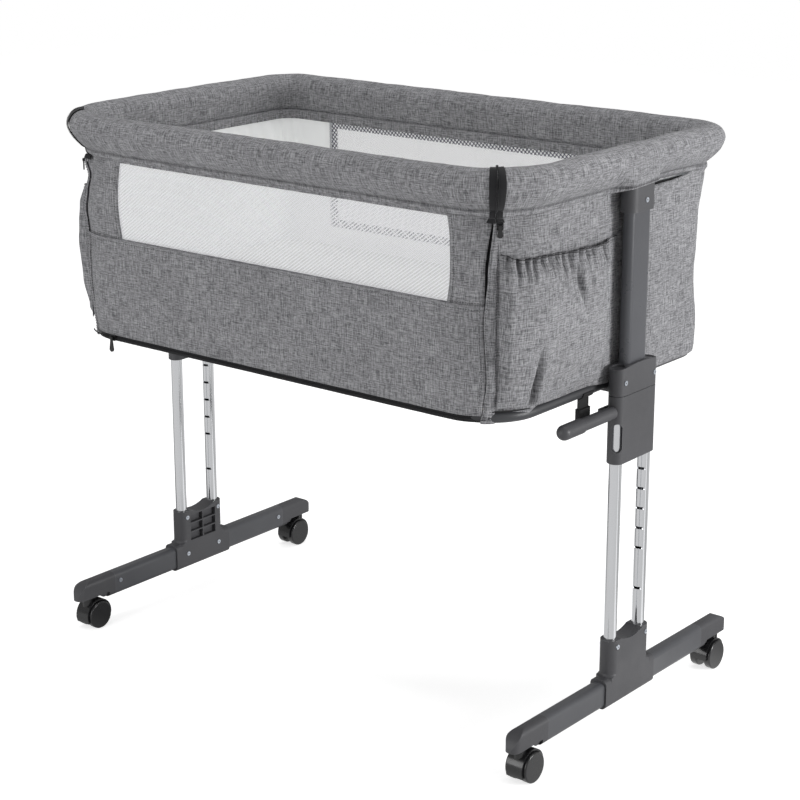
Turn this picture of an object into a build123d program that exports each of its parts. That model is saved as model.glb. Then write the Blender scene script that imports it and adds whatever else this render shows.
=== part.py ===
from build123d import *
import math
import os

# Bedside bassinet on a height-adjustable stand.  Millimetres, +Z up, floor at Z = 0.
# +X runs along the cot to its right end, -Y is the side that drops for reaching in.

# ---------------------------------------------------------------- driving dimensions
seat_gap = 0.3            # working gap between pieces that move past each other
seam_gap = 0.8            # open seam where the drop side zips to the end panels

# casters
wheel_d = 44.0
wheel_width = 11.0
wheel_edge = 2.0          # rounding of a wheel's rims
axle_d = 6.0
axle_fit = 0.05
hood_web = 12.0           # middle web of the hood, between the two wheels
hood_air = 1.0            # air between the tread and the hood
hood_wall = 2.5
hood_cover = 7.0          # how far the hood reaches over each wheel
hood_lip = 8.0            # how far the hood reaches below the axle at its nose
neck_d = 17.0
neck_height = 4.2
stem_d = 8.0
stem_length = 14.0
stem_fit = 0.05
caster_trail = 12.0       # from the swivel axis to the axle

# feet
foot_length = 550.0
cap_length = 76.0
cap_step = 10.0           # the cap's underside stands this much above the bar's
cap_heel = 13.0           # full-height stretch of the cap beside the bar
cap_nose = 30.0           # length of the nose's curve
cap_lug_d = 15.0          # half-round lug under the heel
cap_lug_width = 13.0
cap_spigot = 18.0         # length of cap inside the bar
bar_screw_inset = 11.0
bar_width = 22.0
bar_height = 38.0
bar_wall = 1.5
bar_round = 8.0
caster_inset = 25.0       # from the foot's end to the swivel axis

# leg sockets
socket_wall = 2.5
socket_length = 124.0
socket_base = 44.0        # height of the part that wraps the bar
socket_top = 137.5
socket_dip = 6.0          # hollow of the saddle between the tubes
socket_blend = 4.5
rib_field_height = 44.0   # moulded pocket field on the inner face
rib_field_width = 58.0
rib_field_depth = 7.0
rib = 1.8
rib_rows = 3
screw_drop = 10.0         # upper screws below the socket's top

# leg tubes
leg_reach = 10.0          # the legs' plane stands this much outside the rim tube's line
tube_d = 18.0
tube_wall = 1.5
tube_pitch = 72.0
tube_overlap = 43.0       # length of tube held in the socket
tube_slip = 0.3           # radial clearance of a tube in its housing
plug_height = 6.0
notch_step = 29.4         # distance between two height settings
notch_count = 7
notch_height = 3.6
notch_depth = 3.5
stop_drop = 237.5         # from the highest notch down to the one that stops the cot

# slide housings on the cot
housing_wall = 3.2        # beyond the tube's bore
housing_reach = 105.0     # from the lower frame's centre down to the housings' foot
split_drop = 8.0          # the housings part this much below the lower frame's centre
housing_rise = 29.0       # and end this much above it
housing_crown = 4.0
housing_joint = 0.8       # open line between the two housings
window_width = 14.0
window_height = 41.0
window_drop = 36.5        # window's centre below the lever
window_turn = 38.0        # degrees the window is turned from the front towards the outer face
grip_width = 90.0
grip_height = 54.0
grip_depth = 1.2
grip_shift = 42.0         # the thumb recess runs out over the housing's rear edge

# height levers
lever_drop = 31.0         # from the lower frame's centre down to the levers
lever_d = 18.0
lever_length = 124.0
grip_d = 21.0
grip_length = 48.0
neck_groove = 3.0
lever_travel = 8.0
link_height = 9.0
latch_drop = 40.0         # the latch works this much below the lever
latch_thick = 6.0
link_thick = 4.0

# posts and their caps
post_width = 51.0
post_thick = 18.0
post_wall = 1.6
post_offset = 2.0         # the post stands this much inside the leg tubes' plane
post_seat = 26.0          # length of post held in the upper housing
cap_grip = 33.0           # length of post covered by its cap
cap_wall = 4.5
cap_rise = 12.0           # the cap comes up into the padding this much above the hem
cap_rivet_drop = 23.0
cap_rivet_shift = 3.0
cap_neck_width = 40.0
cap_neck_thick = 15.0

# padded rim
rim_height = 809.4        # centre of the rim tube
rim_half_length = 410.0
rim_half_width = 255.0
rim_radius = 21.0         # padding round the tube
rim_tube_d = 16.0
rim_wall = 1.5
rim_front_radius = 90.0
rim_rear_radius = 50.0
hem_drop = 42.0           # from the tube's centre down to the hem
hem_width = 8.0
zip_angle = 40.0          # where the zips stand round the front corners
setback = 28.0            # the stand's plane lies this much behind the cot's middle

# basket
body_inset = 10.0         # fabric wall inside the rim tube's line
cloth = 3.0
wall_lift = 3.0           # the walls end this much above the lower frame's centre
tape_height = 9.0
window_half = 300.0
front_window_shift = 12.0 # the front window stands this much nearer the right end
front_window_height = 111.4
rear_window_height = 173.4
window_margin = 4.0
window_corner = 5.0
mesh_thick = 1.2
pocket_gap = 11.0
pocket_lift = 17.0        # from the walls' bottom up to the pocket's
pocket_drop = 55.4        # from the hem down to the pocket's mouth
pocket_cloth = 2.0

# lower frame and bed
frame_tube_d = 16.0
frame_wall = 1.5
frame_height = 502.0
floor_cloth_thick = 1.5
board_thick = 6.0
board_margin = 5.0
mattress_thick = 45.0
mattress_margin = 8.0
mattress_round = 10.0
clamp_width = 44.0
clamp_wall = 4.0
clamp_rise = 20.0

# small hardware
rivet_d = 7.0
rivet_head = 1.6
rivet_sink = 0.6          # depth of the flat seat under a head on a rounded face
slider_length = 12.0
slider_width = 9.0
slider_thick = 2.4
ear_thick = 1.2
pull_length = 21.0
corner_pull_length = 15.0
pull_width = 8.0
pull_neck = 4.0
pull_thick = 2.0
pull_pin_d = 1.6
pull_fit = 0.05
slider_inset = 10.0       # the bottom slider parks this far from the left corner's curve
strap_width = 25.0
strap_thick = 1.6
buckle_height = 22.0
buckle_width = 27.0
buckle_thick = 9.0
strap_offset = 73.0       # straps stand this much in front of the stand's plane
strap_drop = 24.0         # from the frame tube's centre to the buckle

# ---------------------------------------------------------------- derived places
leg_x = rim_half_length + leg_reach
housing_bottom = frame_height - housing_reach
housing_split = frame_height - split_drop
housing_top = frame_height + housing_rise
lever_height = frame_height - lever_drop
rim_y = (rim_half_width + rim_radius - foot_length / 2 - setback) / 2
leg_y = rim_y + setback
tube_r = tube_d / 2
bore_r = tube_r + tube_slip
housing_r = bore_r + housing_wall
tube_ys = (leg_y - tube_pitch / 2, leg_y + tube_pitch / 2)

wheel_r = wheel_d / 2
hood_r = wheel_r + hood_air + hood_wall
hood_top = wheel_r + hood_r
neck_top = hood_top + neck_height
cap_under = neck_top + seat_gap
bar_bottom = cap_under - cap_step
bar_top = bar_bottom + bar_height
bar_length = foot_length - 2 * cap_length
socket_r = bar_width / 2 + socket_wall
socket_bottom = bar_bottom - socket_wall

tube_bottom = socket_top - tube_overlap - socket_dip / 2
tube_top = housing_top - plug_height
notch_top = lever_height - latch_drop
post_x = leg_x - post_offset
post_bottom = housing_top - post_seat
rim_top = rim_height + rim_radius
rim_tube_r = rim_tube_d / 2
hem = rim_height - hem_drop
cap_top = hem + cap_rise
post_pitch = post_width - post_thick
cap_r = post_thick / 2 + cap_wall
post_top = cap_top - cap_wall
body_bottom = frame_height + wall_lift
pocket_bottom = body_bottom + pocket_lift

wall_inset = body_inset + cloth
frame_r = frame_tube_d / 2
frame_inset = wall_inset + seat_gap + frame_r
floor_bottom = frame_height + frame_r
board_bottom = floor_bottom + floor_cloth_thick
bed_bottom = board_bottom + board_thick
tape_bottom = body_bottom - tape_height
body_front = rim_y - rim_half_width + body_inset
front_corner_x = rim_half_length - rim_front_radius
front_corner_y = rim_y - rim_half_width + rim_front_radius
rear_corner_x = rim_half_length - rim_rear_radius
rear_corner_y = rim_y + rim_half_width - rim_rear_radius
far = 2 * rim_half_length

os.makedirs("parts", exist_ok=True)


def save(piece, name):
    """Label one finished piece and write its file."""
    piece.label = name
    export_step(piece, f"parts/{name}.step")


def save_pair(piece, name):
    """Save a right-hand piece and its mirror image at the left end."""
    save(piece, f"{name}_right")
    with BuildPart() as other:
        mirror(piece, about=Plane.YZ)
    save(other.part, f"{name}_left")


def basket_outline(inset):
    """Closed plan outline of the cot, drawn inside the rim tube's line by inset."""
    front_r = rim_front_radius - inset
    rear_r = rim_rear_radius - inset
    x = rim_half_length - inset
    front = rim_y - rim_half_width + inset
    rear = rim_y + rim_half_width - inset
    Line((-front_corner_x, front), (front_corner_x, front))
    CenterArc((front_corner_x, front_corner_y), front_r, -90, 90)
    Line((x, front_corner_y), (x, rear_corner_y))
    CenterArc((rear_corner_x, rear_corner_y), rear_r, 0, 90)
    Line((rear_corner_x, rear), (-rear_corner_x, rear))
    CenterArc((-rear_corner_x, rear_corner_y), rear_r, 90, 90)
    Line((-x, rear_corner_y), (-x, front_corner_y))
    CenterArc((-front_corner_x, front_corner_y), front_r, 180, 90)


def plan(inset):
    """Filled plan of the cot, inset from the rim tube's line."""
    with BuildSketch() as filled:
        with BuildLine():
            basket_outline(inset)
        make_face()
    return filled.sketch


def wall_ring(outer_inset, inner_inset):
    """Plan of a wall that follows the basket, between two insets."""
    add(plan(outer_inset))
    add(plan(inner_inset), mode=Mode.SUBTRACT)


def front_sector(shift, mode):
    """Plan of everything in front of the two corner zips."""
    dx = far * math.sin(math.radians(zip_angle))
    dy = far * math.cos(math.radians(zip_angle))
    Polygon(
        (-front_corner_x, front_corner_y + shift),
        (-front_corner_x - dx, front_corner_y - dy + shift),
        (front_corner_x + dx, front_corner_y - dy + shift),
        (front_corner_x, front_corner_y + shift),
        align=None,
        mode=mode,
    )


def obround(x, y, pitch, radius, mode=Mode.ADD):
    """Rounded bar shape with its length along Y."""
    with Locations((x, y)):
        SlotCenterToCenter(pitch, 2 * radius, rotation=90, mode=mode)


def tangent_angle(hem_x, turn):
    """Angle of the point where a line from the hem touches the padding's circle."""
    reach = math.hypot(hem_x, hem_drop)
    towards = math.atan2(-hem_drop, hem_x)
    return towards + turn * math.acos(rim_radius / reach)


def sleeve_section():
    """Section of the padded rim: round over its tube, narrowing to the hem."""
    middle = -body_inset - cloth / 2
    hem_out = middle + hem_width / 2
    hem_in = middle - hem_width / 2
    out_turn = tangent_angle(hem_out, 1)
    in_turn = tangent_angle(hem_in, -1)
    outer = (rim_radius * math.cos(out_turn), rim_radius * math.sin(out_turn))
    inner = (rim_radius * math.cos(in_turn), rim_radius * math.sin(in_turn))
    with BuildSketch() as section:
        with BuildLine():
            Polyline(outer, (hem_out, -hem_drop), (hem_in, -hem_drop), inner)
            ThreePointArc(inner, (0, rim_radius), outer)
        make_face()
        Circle(rim_tube_r + seat_gap / 2, mode=Mode.SUBTRACT)
    return section.sketch


def tube_section():
    """Section of the rim's steel tube."""
    Circle(rim_tube_r)
    Circle(rim_tube_r - rim_wall, mode=Mode.SUBTRACT)


def section_plane(path):
    """Plane across the start of a path in plan, its X pointing out of the cot."""
    start = path @ 0
    along = path % 0
    return Plane(origin=start, x_dir=(-along.Y, along.X, 0), z_dir=along)


# ---------------------------------------------------------------- rim
zip_gap = math.degrees(seam_gap / 2 / rim_front_radius)
front_sweep = zip_angle - zip_gap
rear_sweep = 90 - zip_angle - zip_gap
left_x = -rim_half_length
rear_y = rim_y + rim_half_width
front_y = rim_y - rim_half_width

with BuildLine(Plane.XY.offset(rim_height)) as rear_path:
    CenterArc((-front_corner_x, front_corner_y), rim_front_radius, 180 + rear_sweep, -rear_sweep)
    Line((left_x, front_corner_y), (left_x, rear_corner_y))
    CenterArc((-rear_corner_x, rear_corner_y), rim_rear_radius, 180, -90)
    Line((-rear_corner_x, rear_y), (rear_corner_x, rear_y))
    CenterArc((rear_corner_x, rear_corner_y), rim_rear_radius, 90, -90)
    Line((rim_half_length, rear_corner_y), (rim_half_length, front_corner_y))
    CenterArc((front_corner_x, front_corner_y), rim_front_radius, 0, -rear_sweep)

with BuildLine(Plane.XY.offset(rim_height)) as front_path:
    CenterArc((front_corner_x, front_corner_y), rim_front_radius, front_sweep - 90, -front_sweep)
    Line((front_corner_x, front_y), (-front_corner_x, front_y))
    CenterArc((-front_corner_x, front_corner_y), rim_front_radius, 270, -front_sweep)

with BuildPart() as rim_frame:
    with BuildSketch(section_plane(rear_path.line)):
        tube_section()
    sweep(path=rear_path.line)
save(rim_frame.part, "rim_frame")

with BuildPart() as front_rail:
    with BuildSketch(section_plane(front_path.line)):
        tube_section()
    sweep(path=front_path.line)
save(front_rail.part, "front_rail")

with BuildPart() as rear_sleeve:
    with BuildSketch(section_plane(rear_path.line)):
        add(sleeve_section())
    sweep(path=rear_path.line)
    # pockets that take the necks of the post caps
    with BuildSketch(Plane.XY.offset(hem - cloth)):
        with Locations((rim_half_length, leg_y), (-rim_half_length, leg_y)):
            Rectangle(cap_neck_thick + seat_gap, cap_neck_width + seat_gap)
    extrude(amount=hem_drop + cloth, mode=Mode.SUBTRACT)
    # room for the caps themselves
    with BuildSketch(Plane.XY.offset(hem - cloth)):
        obround(post_x, leg_y, post_pitch, cap_r + seat_gap)
        obround(-post_x, leg_y, post_pitch, cap_r + seat_gap)
    extrude(amount=cloth + cap_rise + seat_gap, mode=Mode.SUBTRACT)
save(rear_sleeve.part, "rear_sleeve")

with BuildPart() as front_sleeve:
    with BuildSketch(section_plane(front_path.line)):
        add(sleeve_section())
    sweep(path=front_path.line)
save(front_sleeve.part, "front_sleeve")

# ---------------------------------------------------------------- basket walls
wall_height = hem - body_bottom


def window(height, shift):
    """Outline of a rounded window in a long wall, just under the hem."""
    with Locations((shift, hem - window_margin - height / 2)):
        RectangleRounded(2 * window_half, height, window_corner)


with BuildPart() as front_panel:
    with BuildSketch(Plane.XY.offset(body_bottom)):
        wall_ring(body_inset, wall_inset)
    extrude(amount=wall_height)
    with BuildSketch(Plane.XY.offset(body_bottom)):
        front_sector(0, Mode.ADD)
    extrude(amount=wall_height, mode=Mode.INTERSECT)
    with BuildSketch(Plane.XZ.offset(-body_front)):
        window(front_window_height, front_window_shift)
    extrude(amount=-cloth, mode=Mode.SUBTRACT)
save(front_panel.part, "front_panel")

with BuildPart() as bottom_zip_tape:
    with BuildSketch(Plane.XY.offset(tape_bottom)):
        wall_ring(body_inset, wall_inset)
    extrude(amount=tape_height)
    with BuildSketch(Plane.XY.offset(tape_bottom)):
        front_sector(0, Mode.ADD)
    extrude(amount=tape_height, mode=Mode.INTERSECT)
save(bottom_zip_tape.part, "bottom_zip_tape")

mesh_inset = (cloth - mesh_thick) / 2
with BuildPart() as front_mesh:
    with BuildSketch(Plane.XZ.offset(-body_front - mesh_inset)):
        window(front_window_height, front_window_shift)
    extrude(amount=-mesh_thick)
save(front_mesh.part, "front_mesh")

body_rear = rear_y - body_inset
rear_wall_front = body_rear - cloth
with BuildPart() as rear_panel:
    with BuildSketch(Plane.XY.offset(body_bottom)):
        with Locations((0, body_rear - cloth / 2)):
            Rectangle(2 * rear_corner_x, cloth)
    extrude(amount=wall_height)
    with BuildSketch(Plane.XZ.offset(-rear_wall_front)):
        window(rear_window_height, 0)
    extrude(amount=-cloth, mode=Mode.SUBTRACT)
save(rear_panel.part, "rear_panel")

with BuildPart() as rear_mesh:
    with BuildSketch(Plane.XZ.offset(-rear_wall_front - mesh_inset)):
        window(rear_window_height, 0)
    extrude(amount=-mesh_thick)
save(rear_mesh.part, "rear_mesh")

with BuildPart() as end_panel:
    with BuildSketch(Plane.XY.offset(body_bottom)):
        wall_ring(body_inset, wall_inset)
        front_sector(seam_gap, Mode.SUBTRACT)
        with Locations((0, rear_y)):
            Rectangle(2 * rear_corner_x, rim_rear_radius, mode=Mode.SUBTRACT)
        with Locations((-far / 2, 0)):
            Rectangle(far, 2 * far, mode=Mode.SUBTRACT)
    extrude(amount=wall_height)
save_pair(end_panel.part, "end_panel")

# gathered pocket on each end, from the corner zip to the post
pocket_outer = body_inset - pocket_gap - pocket_cloth
pocket_height = hem - pocket_drop - pocket_bottom
pocket_rear = leg_y - tube_pitch / 2 - tube_r - pocket_gap / 2


def pocket_plan(outer, inner, trim):
    """Plan of the end pocket between two insets, its two edges trimmed back."""
    wall_ring(outer, inner)
    front_sector(seam_gap + cloth + trim, Mode.SUBTRACT)
    with Locations((0, pocket_rear - trim + far / 2)):
        Rectangle(2 * far, far, mode=Mode.SUBTRACT)
    with Locations((-far / 2, 0)):
        Rectangle(far, 2 * far, mode=Mode.SUBTRACT)


with BuildPart() as end_pocket:
    with BuildSketch(Plane.XY.offset(pocket_bottom)):
        pocket_plan(pocket_outer, body_inset, 0)
    extrude(amount=pocket_height)
    with BuildSketch(Plane.XY.offset(pocket_bottom + pocket_cloth)):
        pocket_plan(pocket_outer + pocket_cloth, body_inset, pocket_cloth)
    extrude(amount=pocket_height, mode=Mode.SUBTRACT)
save_pair(end_pocket.part, "end_pocket")

# ---------------------------------------------------------------- floor and bed
with BuildPart() as lower_frame:
    with BuildLine(Plane.XY.offset(frame_height)) as frame_path:
        basket_outline(frame_inset)
    with BuildSketch(section_plane(frame_path.line)):
        Circle(frame_r)
        Circle(frame_r - frame_wall, mode=Mode.SUBTRACT)
    sweep(path=frame_path.line)
save(lower_frame.part, "lower_frame")


with BuildPart() as floor_cloth:
    with BuildSketch(Plane.XY.offset(floor_bottom)):
        add(plan(wall_inset + seat_gap))
    extrude(amount=floor_cloth_thick)
save(floor_cloth.part, "floor_cloth")

with BuildPart() as bed_board:
    with BuildSketch(Plane.XY.offset(board_bottom)):
        add(plan(wall_inset + board_margin))
    extrude(amount=board_thick)
save(bed_board.part, "bed_board")

with BuildPart() as mattress:
    with BuildSketch(Plane.XY.offset(bed_bottom)):
        add(plan(wall_inset + mattress_margin))
    extrude(amount=mattress_thick)
    fillet(mattress.faces().sort_by(Axis.Z)[-1].edges(), mattress_round)
save(mattress.part, "mattress")

# bracket that ties the lower frame to each upper housing
frame_x = rim_half_length - frame_inset
clamp_out = leg_x - housing_r
clamp_in = frame_x - frame_r - 0.75 * clamp_wall
clamp_low = frame_height - frame_r - clamp_wall
clamp_ledge = body_bottom - seat_gap
wall_clear = rim_half_length - body_inset + seat_gap
with BuildPart() as frame_clamp:
    with BuildSketch(Plane.XZ.offset(-leg_y)):
        with BuildLine():
            Polyline(
                (clamp_in, clamp_low),
                (clamp_out, clamp_low),
                (clamp_out, clamp_ledge + clamp_rise),
                (wall_clear, clamp_ledge + clamp_rise),
                (wall_clear, clamp_ledge),
                (clamp_in, clamp_ledge),
                close=True,
            )
        make_face()
        with Locations((frame_x, frame_height)):
            Circle(frame_r, mode=Mode.SUBTRACT)
    extrude(amount=clamp_width / 2, both=True)
save_pair(frame_clamp.part, "frame_clamp")

# ---------------------------------------------------------------- posts
with BuildPart() as post:
    with BuildSketch(Plane.XY.offset(post_bottom)):
        obround(post_x, leg_y, post_pitch, post_thick / 2)
        obround(post_x, leg_y, post_pitch, post_thick / 2 - post_wall, Mode.SUBTRACT)
    extrude(amount=post_top - post_bottom)
save_pair(post.part, "post")

with BuildPart() as post_cap:
    with BuildSketch(Plane.XY.offset(cap_top - cap_wall - cap_grip)):
        obround(post_x, leg_y, post_pitch, cap_r)
    extrude(amount=cap_grip + cap_wall)
    fillet(post_cap.edges().group_by(Axis.Z)[-1], cap_wall / 2)
    with BuildSketch(Plane.XY.offset(cap_top - cap_wall - cap_grip)):
        obround(post_x, leg_y, post_pitch, post_thick / 2)
    extrude(amount=cap_grip, mode=Mode.SUBTRACT)
    # neck with a saddle that carries the rim tube
    with BuildSketch(Plane.XY.offset(cap_top - cap_wall / 2)):
        with Locations((rim_half_length, leg_y)):
            Rectangle(cap_neck_thick, cap_neck_width)
    extrude(amount=rim_height - cap_top + cap_wall / 2)
    with BuildSketch(Plane.XZ.offset(-leg_y)):
        with Locations((rim_half_length, rim_height)):
            Circle(rim_tube_r)
    extrude(amount=cap_neck_width, both=True, mode=Mode.SUBTRACT)
save_pair(post_cap.part, "post_cap")

# ---------------------------------------------------------------- slide housings
rivet_z = (housing_split + housing_top) / 2 - 2 * seat_gap
with BuildPart() as upper_housing:
    with BuildSketch(Plane.XY.offset(housing_split)):
        obround(leg_x, leg_y, tube_pitch, housing_r)
    extrude(amount=housing_top + housing_crown - housing_split)
    # crowned top: a long arc across the housing
    span = tube_pitch / 2 + housing_r
    with BuildSketch(Plane.YZ.offset(leg_x)):
        with BuildLine():
            ThreePointArc(
                (leg_y - span, housing_top),
                (leg_y, housing_top + housing_crown),
                (leg_y + span, housing_top),
            )
            Polyline(
                (leg_y + span, housing_top),
                (leg_y + span, housing_split),
                (leg_y - span, housing_split),
                (leg_y - span, housing_top),
            )
        make_face()
    extrude(amount=housing_r, both=True, mode=Mode.INTERSECT)
    fillet(upper_housing.edges().group_by(Axis.Z)[-1], housing_wall / 3)
    with BuildSketch(Plane.XY.offset(housing_split)):
        with Locations((leg_x, tube_ys[0]), (leg_x, tube_ys[1])):
            Circle(bore_r)
    extrude(amount=housing_top, mode=Mode.SUBTRACT)
    with BuildSketch(Plane.XY.offset(post_bottom)):
        obround(post_x, leg_y, post_pitch, post_thick / 2)
    extrude(amount=housing_top, mode=Mode.SUBTRACT)
    # flat seats for the rivets
    with BuildSketch(Plane.YZ.offset(leg_x + housing_r - rivet_sink)):
        with Locations((tube_ys[0], rivet_z), (tube_ys[1], rivet_z)):
            Circle(rivet_d / 2 + seat_gap)
    extrude(amount=housing_r, mode=Mode.SUBTRACT)
save_pair(upper_housing.part, "upper_housing")

latch_z = notch_top
latch_height = notch_height - 2 * seat_gap
rear_tube_front = tube_ys[1] - tube_r
latch_rear = rear_tube_front - seat_gap
latch_front = latch_rear - latch_thick
link_x = leg_x - housing_r - seat_gap
slot_rear = latch_rear + seat_gap
slot_front = latch_front - lever_travel - seat_gap
slot_half = latch_height / 2 + seat_gap
window_cos = math.cos(math.radians(window_turn))
window_sin = math.sin(math.radians(window_turn))
window_plane = Plane(
    origin=(leg_x, tube_ys[0], lever_height - window_drop),
    x_dir=(window_cos, window_sin, 0),
    z_dir=(window_sin, -window_cos, 0),
)
with BuildPart() as lower_housing:
    with BuildSketch(Plane.XY.offset(housing_bottom)):
        obround(leg_x, leg_y, tube_pitch, housing_r)
    extrude(amount=housing_split - housing_joint - housing_bottom)
    fillet(lower_housing.faces().sort_by(Axis.Z)[0].edges(), housing_wall / 3)
    fillet(lower_housing.faces().sort_by(Axis.Z)[-1].edges(), housing_wall / 4)
    with BuildSketch(Plane.XY.offset(housing_bottom)):
        with Locations((leg_x, tube_ys[0]), (leg_x, tube_ys[1])):
            Circle(bore_r)
    extrude(amount=housing_split, mode=Mode.SUBTRACT)
    # window that shows the front tube
    with BuildSketch(window_plane):
        SlotOverall(window_height, window_width, rotation=90)
    extrude(amount=2 * housing_r, mode=Mode.SUBTRACT)
    # thumb recess on the outer face, arched at its top
    with BuildSketch(Plane.YZ.offset(leg_x + housing_r - grip_depth)):
        with Locations((leg_y + grip_shift, housing_bottom)):
            Ellipse(grip_width / 2, grip_height)
    extrude(amount=housing_r, mode=Mode.SUBTRACT)
    # slot in the inner wall for the latch, open to the rear tube
    with BuildSketch(Plane.YZ.offset(leg_x)):
        with Locations(((slot_front + tube_ys[1]) / 2, latch_z)):
            Rectangle(tube_ys[1] - slot_front, 2 * slot_half)
    extrude(amount=-2 * housing_r, mode=Mode.SUBTRACT)
save_pair(lower_housing.part, "lower_housing")

# ---------------------------------------------------------------- height levers
housing_front = tube_ys[0] - housing_r
rod_end = housing_front - seat_gap
lever_tip = rod_end - lever_length
link_face = link_x - link_thick
with BuildPart() as lever:
    # turned handle: rod, neck and rounded grip
    with BuildSketch(Plane.YZ.offset(leg_x)):
        with BuildLine():
            neck_y = lever_tip + grip_length
            Polyline(
                (lever_tip, lever_height),
                (rod_end, lever_height),
                (rod_end, lever_height + lever_d / 2),
                (neck_y + neck_groove, lever_height + lever_d / 2),
                (neck_y, lever_height + lever_d / 2 - neck_groove / 2),
                (neck_y, lever_height + grip_d / 2),
                (lever_tip + grip_d / 2, lever_height + grip_d / 2),
            )
            RadiusArc(
                (lever_tip + grip_d / 2, lever_height + grip_d / 2),
                (lever_tip, lever_height),
                -grip_d / 2,
            )
        make_face()
    revolve(axis=Axis((leg_x, 0, lever_height), (0, 1, 0)))
    # arm to the inner face of the housing
    arm_front = rod_end - link_height
    with BuildSketch(Plane.XY.offset(lever_height - link_height / 2)):
        with BuildLine():
            Polyline(
                (link_face, arm_front),
                (leg_x, arm_front),
                (leg_x, rod_end),
                (link_face, rod_end),
                close=True,
            )
        make_face()
    extrude(amount=link_height)
    # flat link behind the housing, with its latch leg
    with BuildSketch(Plane.YZ.offset(link_face)):
        with BuildLine():
            high = lever_height + link_height / 2
            low = lever_height - link_height / 2
            Polyline(
                (arm_front, high),
                (latch_rear, high),
                (latch_rear, latch_z - latch_height / 2),
                (latch_front, latch_z - latch_height / 2),
                (latch_front, low),
                (arm_front, low),
                close=True,
            )
        make_face()
    extrude(amount=link_thick)
    # latch tongue, through the slot and up to the rear tube
    with BuildSketch(Plane.YZ.offset(link_face)):
        with Locations(((latch_front + latch_rear) / 2, latch_z)):
            Rectangle(latch_thick, latch_height)
    extrude(amount=leg_x - link_face)
save_pair(lever.part, "height_lever")

# ---------------------------------------------------------------- leg tubes
tube_length = tube_top - tube_bottom
with BuildPart() as front_tube:
    with BuildSketch(Plane.XY.offset(tube_bottom)):
        with Locations((leg_x, tube_ys[0])):
            Circle(tube_r)
            Circle(tube_r - tube_wall, mode=Mode.SUBTRACT)
    extrude(amount=tube_length)
save_pair(front_tube.part, "front_tube")

notches = [notch_top - notch_step * i for i in range(notch_count)] + [notch_top - stop_drop]
with BuildPart() as rear_tube:
    with BuildSketch(Plane.XY.offset(tube_bottom)):
        with Locations((leg_x, tube_ys[1])):
            Circle(tube_r)
            Circle(tube_r - tube_wall, mode=Mode.SUBTRACT)
    extrude(amount=tube_length)
    # a notch for each height and a last one that stops the cot
    with BuildSketch(Plane.YZ.offset(leg_x)):
        with Locations(*[(rear_tube_front, z) for z in notches]):
            Rectangle(2 * notch_depth, notch_height)
    extrude(amount=tube_r, both=True, mode=Mode.SUBTRACT)
save_pair(rear_tube.part, "rear_tube")

with BuildPart() as tube_plugs:
    with BuildSketch(Plane.XY.offset(tube_top)):
        with Locations((leg_x, tube_ys[0]), (leg_x, tube_ys[1])):
            Circle(tube_r)
    extrude(amount=plug_height)
    fillet(tube_plugs.edges().group_by(Axis.Z)[-1], plug_height / 4)
    with BuildSketch(Plane.XY.offset(tube_top)):
        with Locations((leg_x, tube_ys[0]), (leg_x, tube_ys[1])):
            Circle(tube_r - tube_wall)
    extrude(amount=-plug_height)
save_pair(tube_plugs.part, "tube_plugs")

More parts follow.
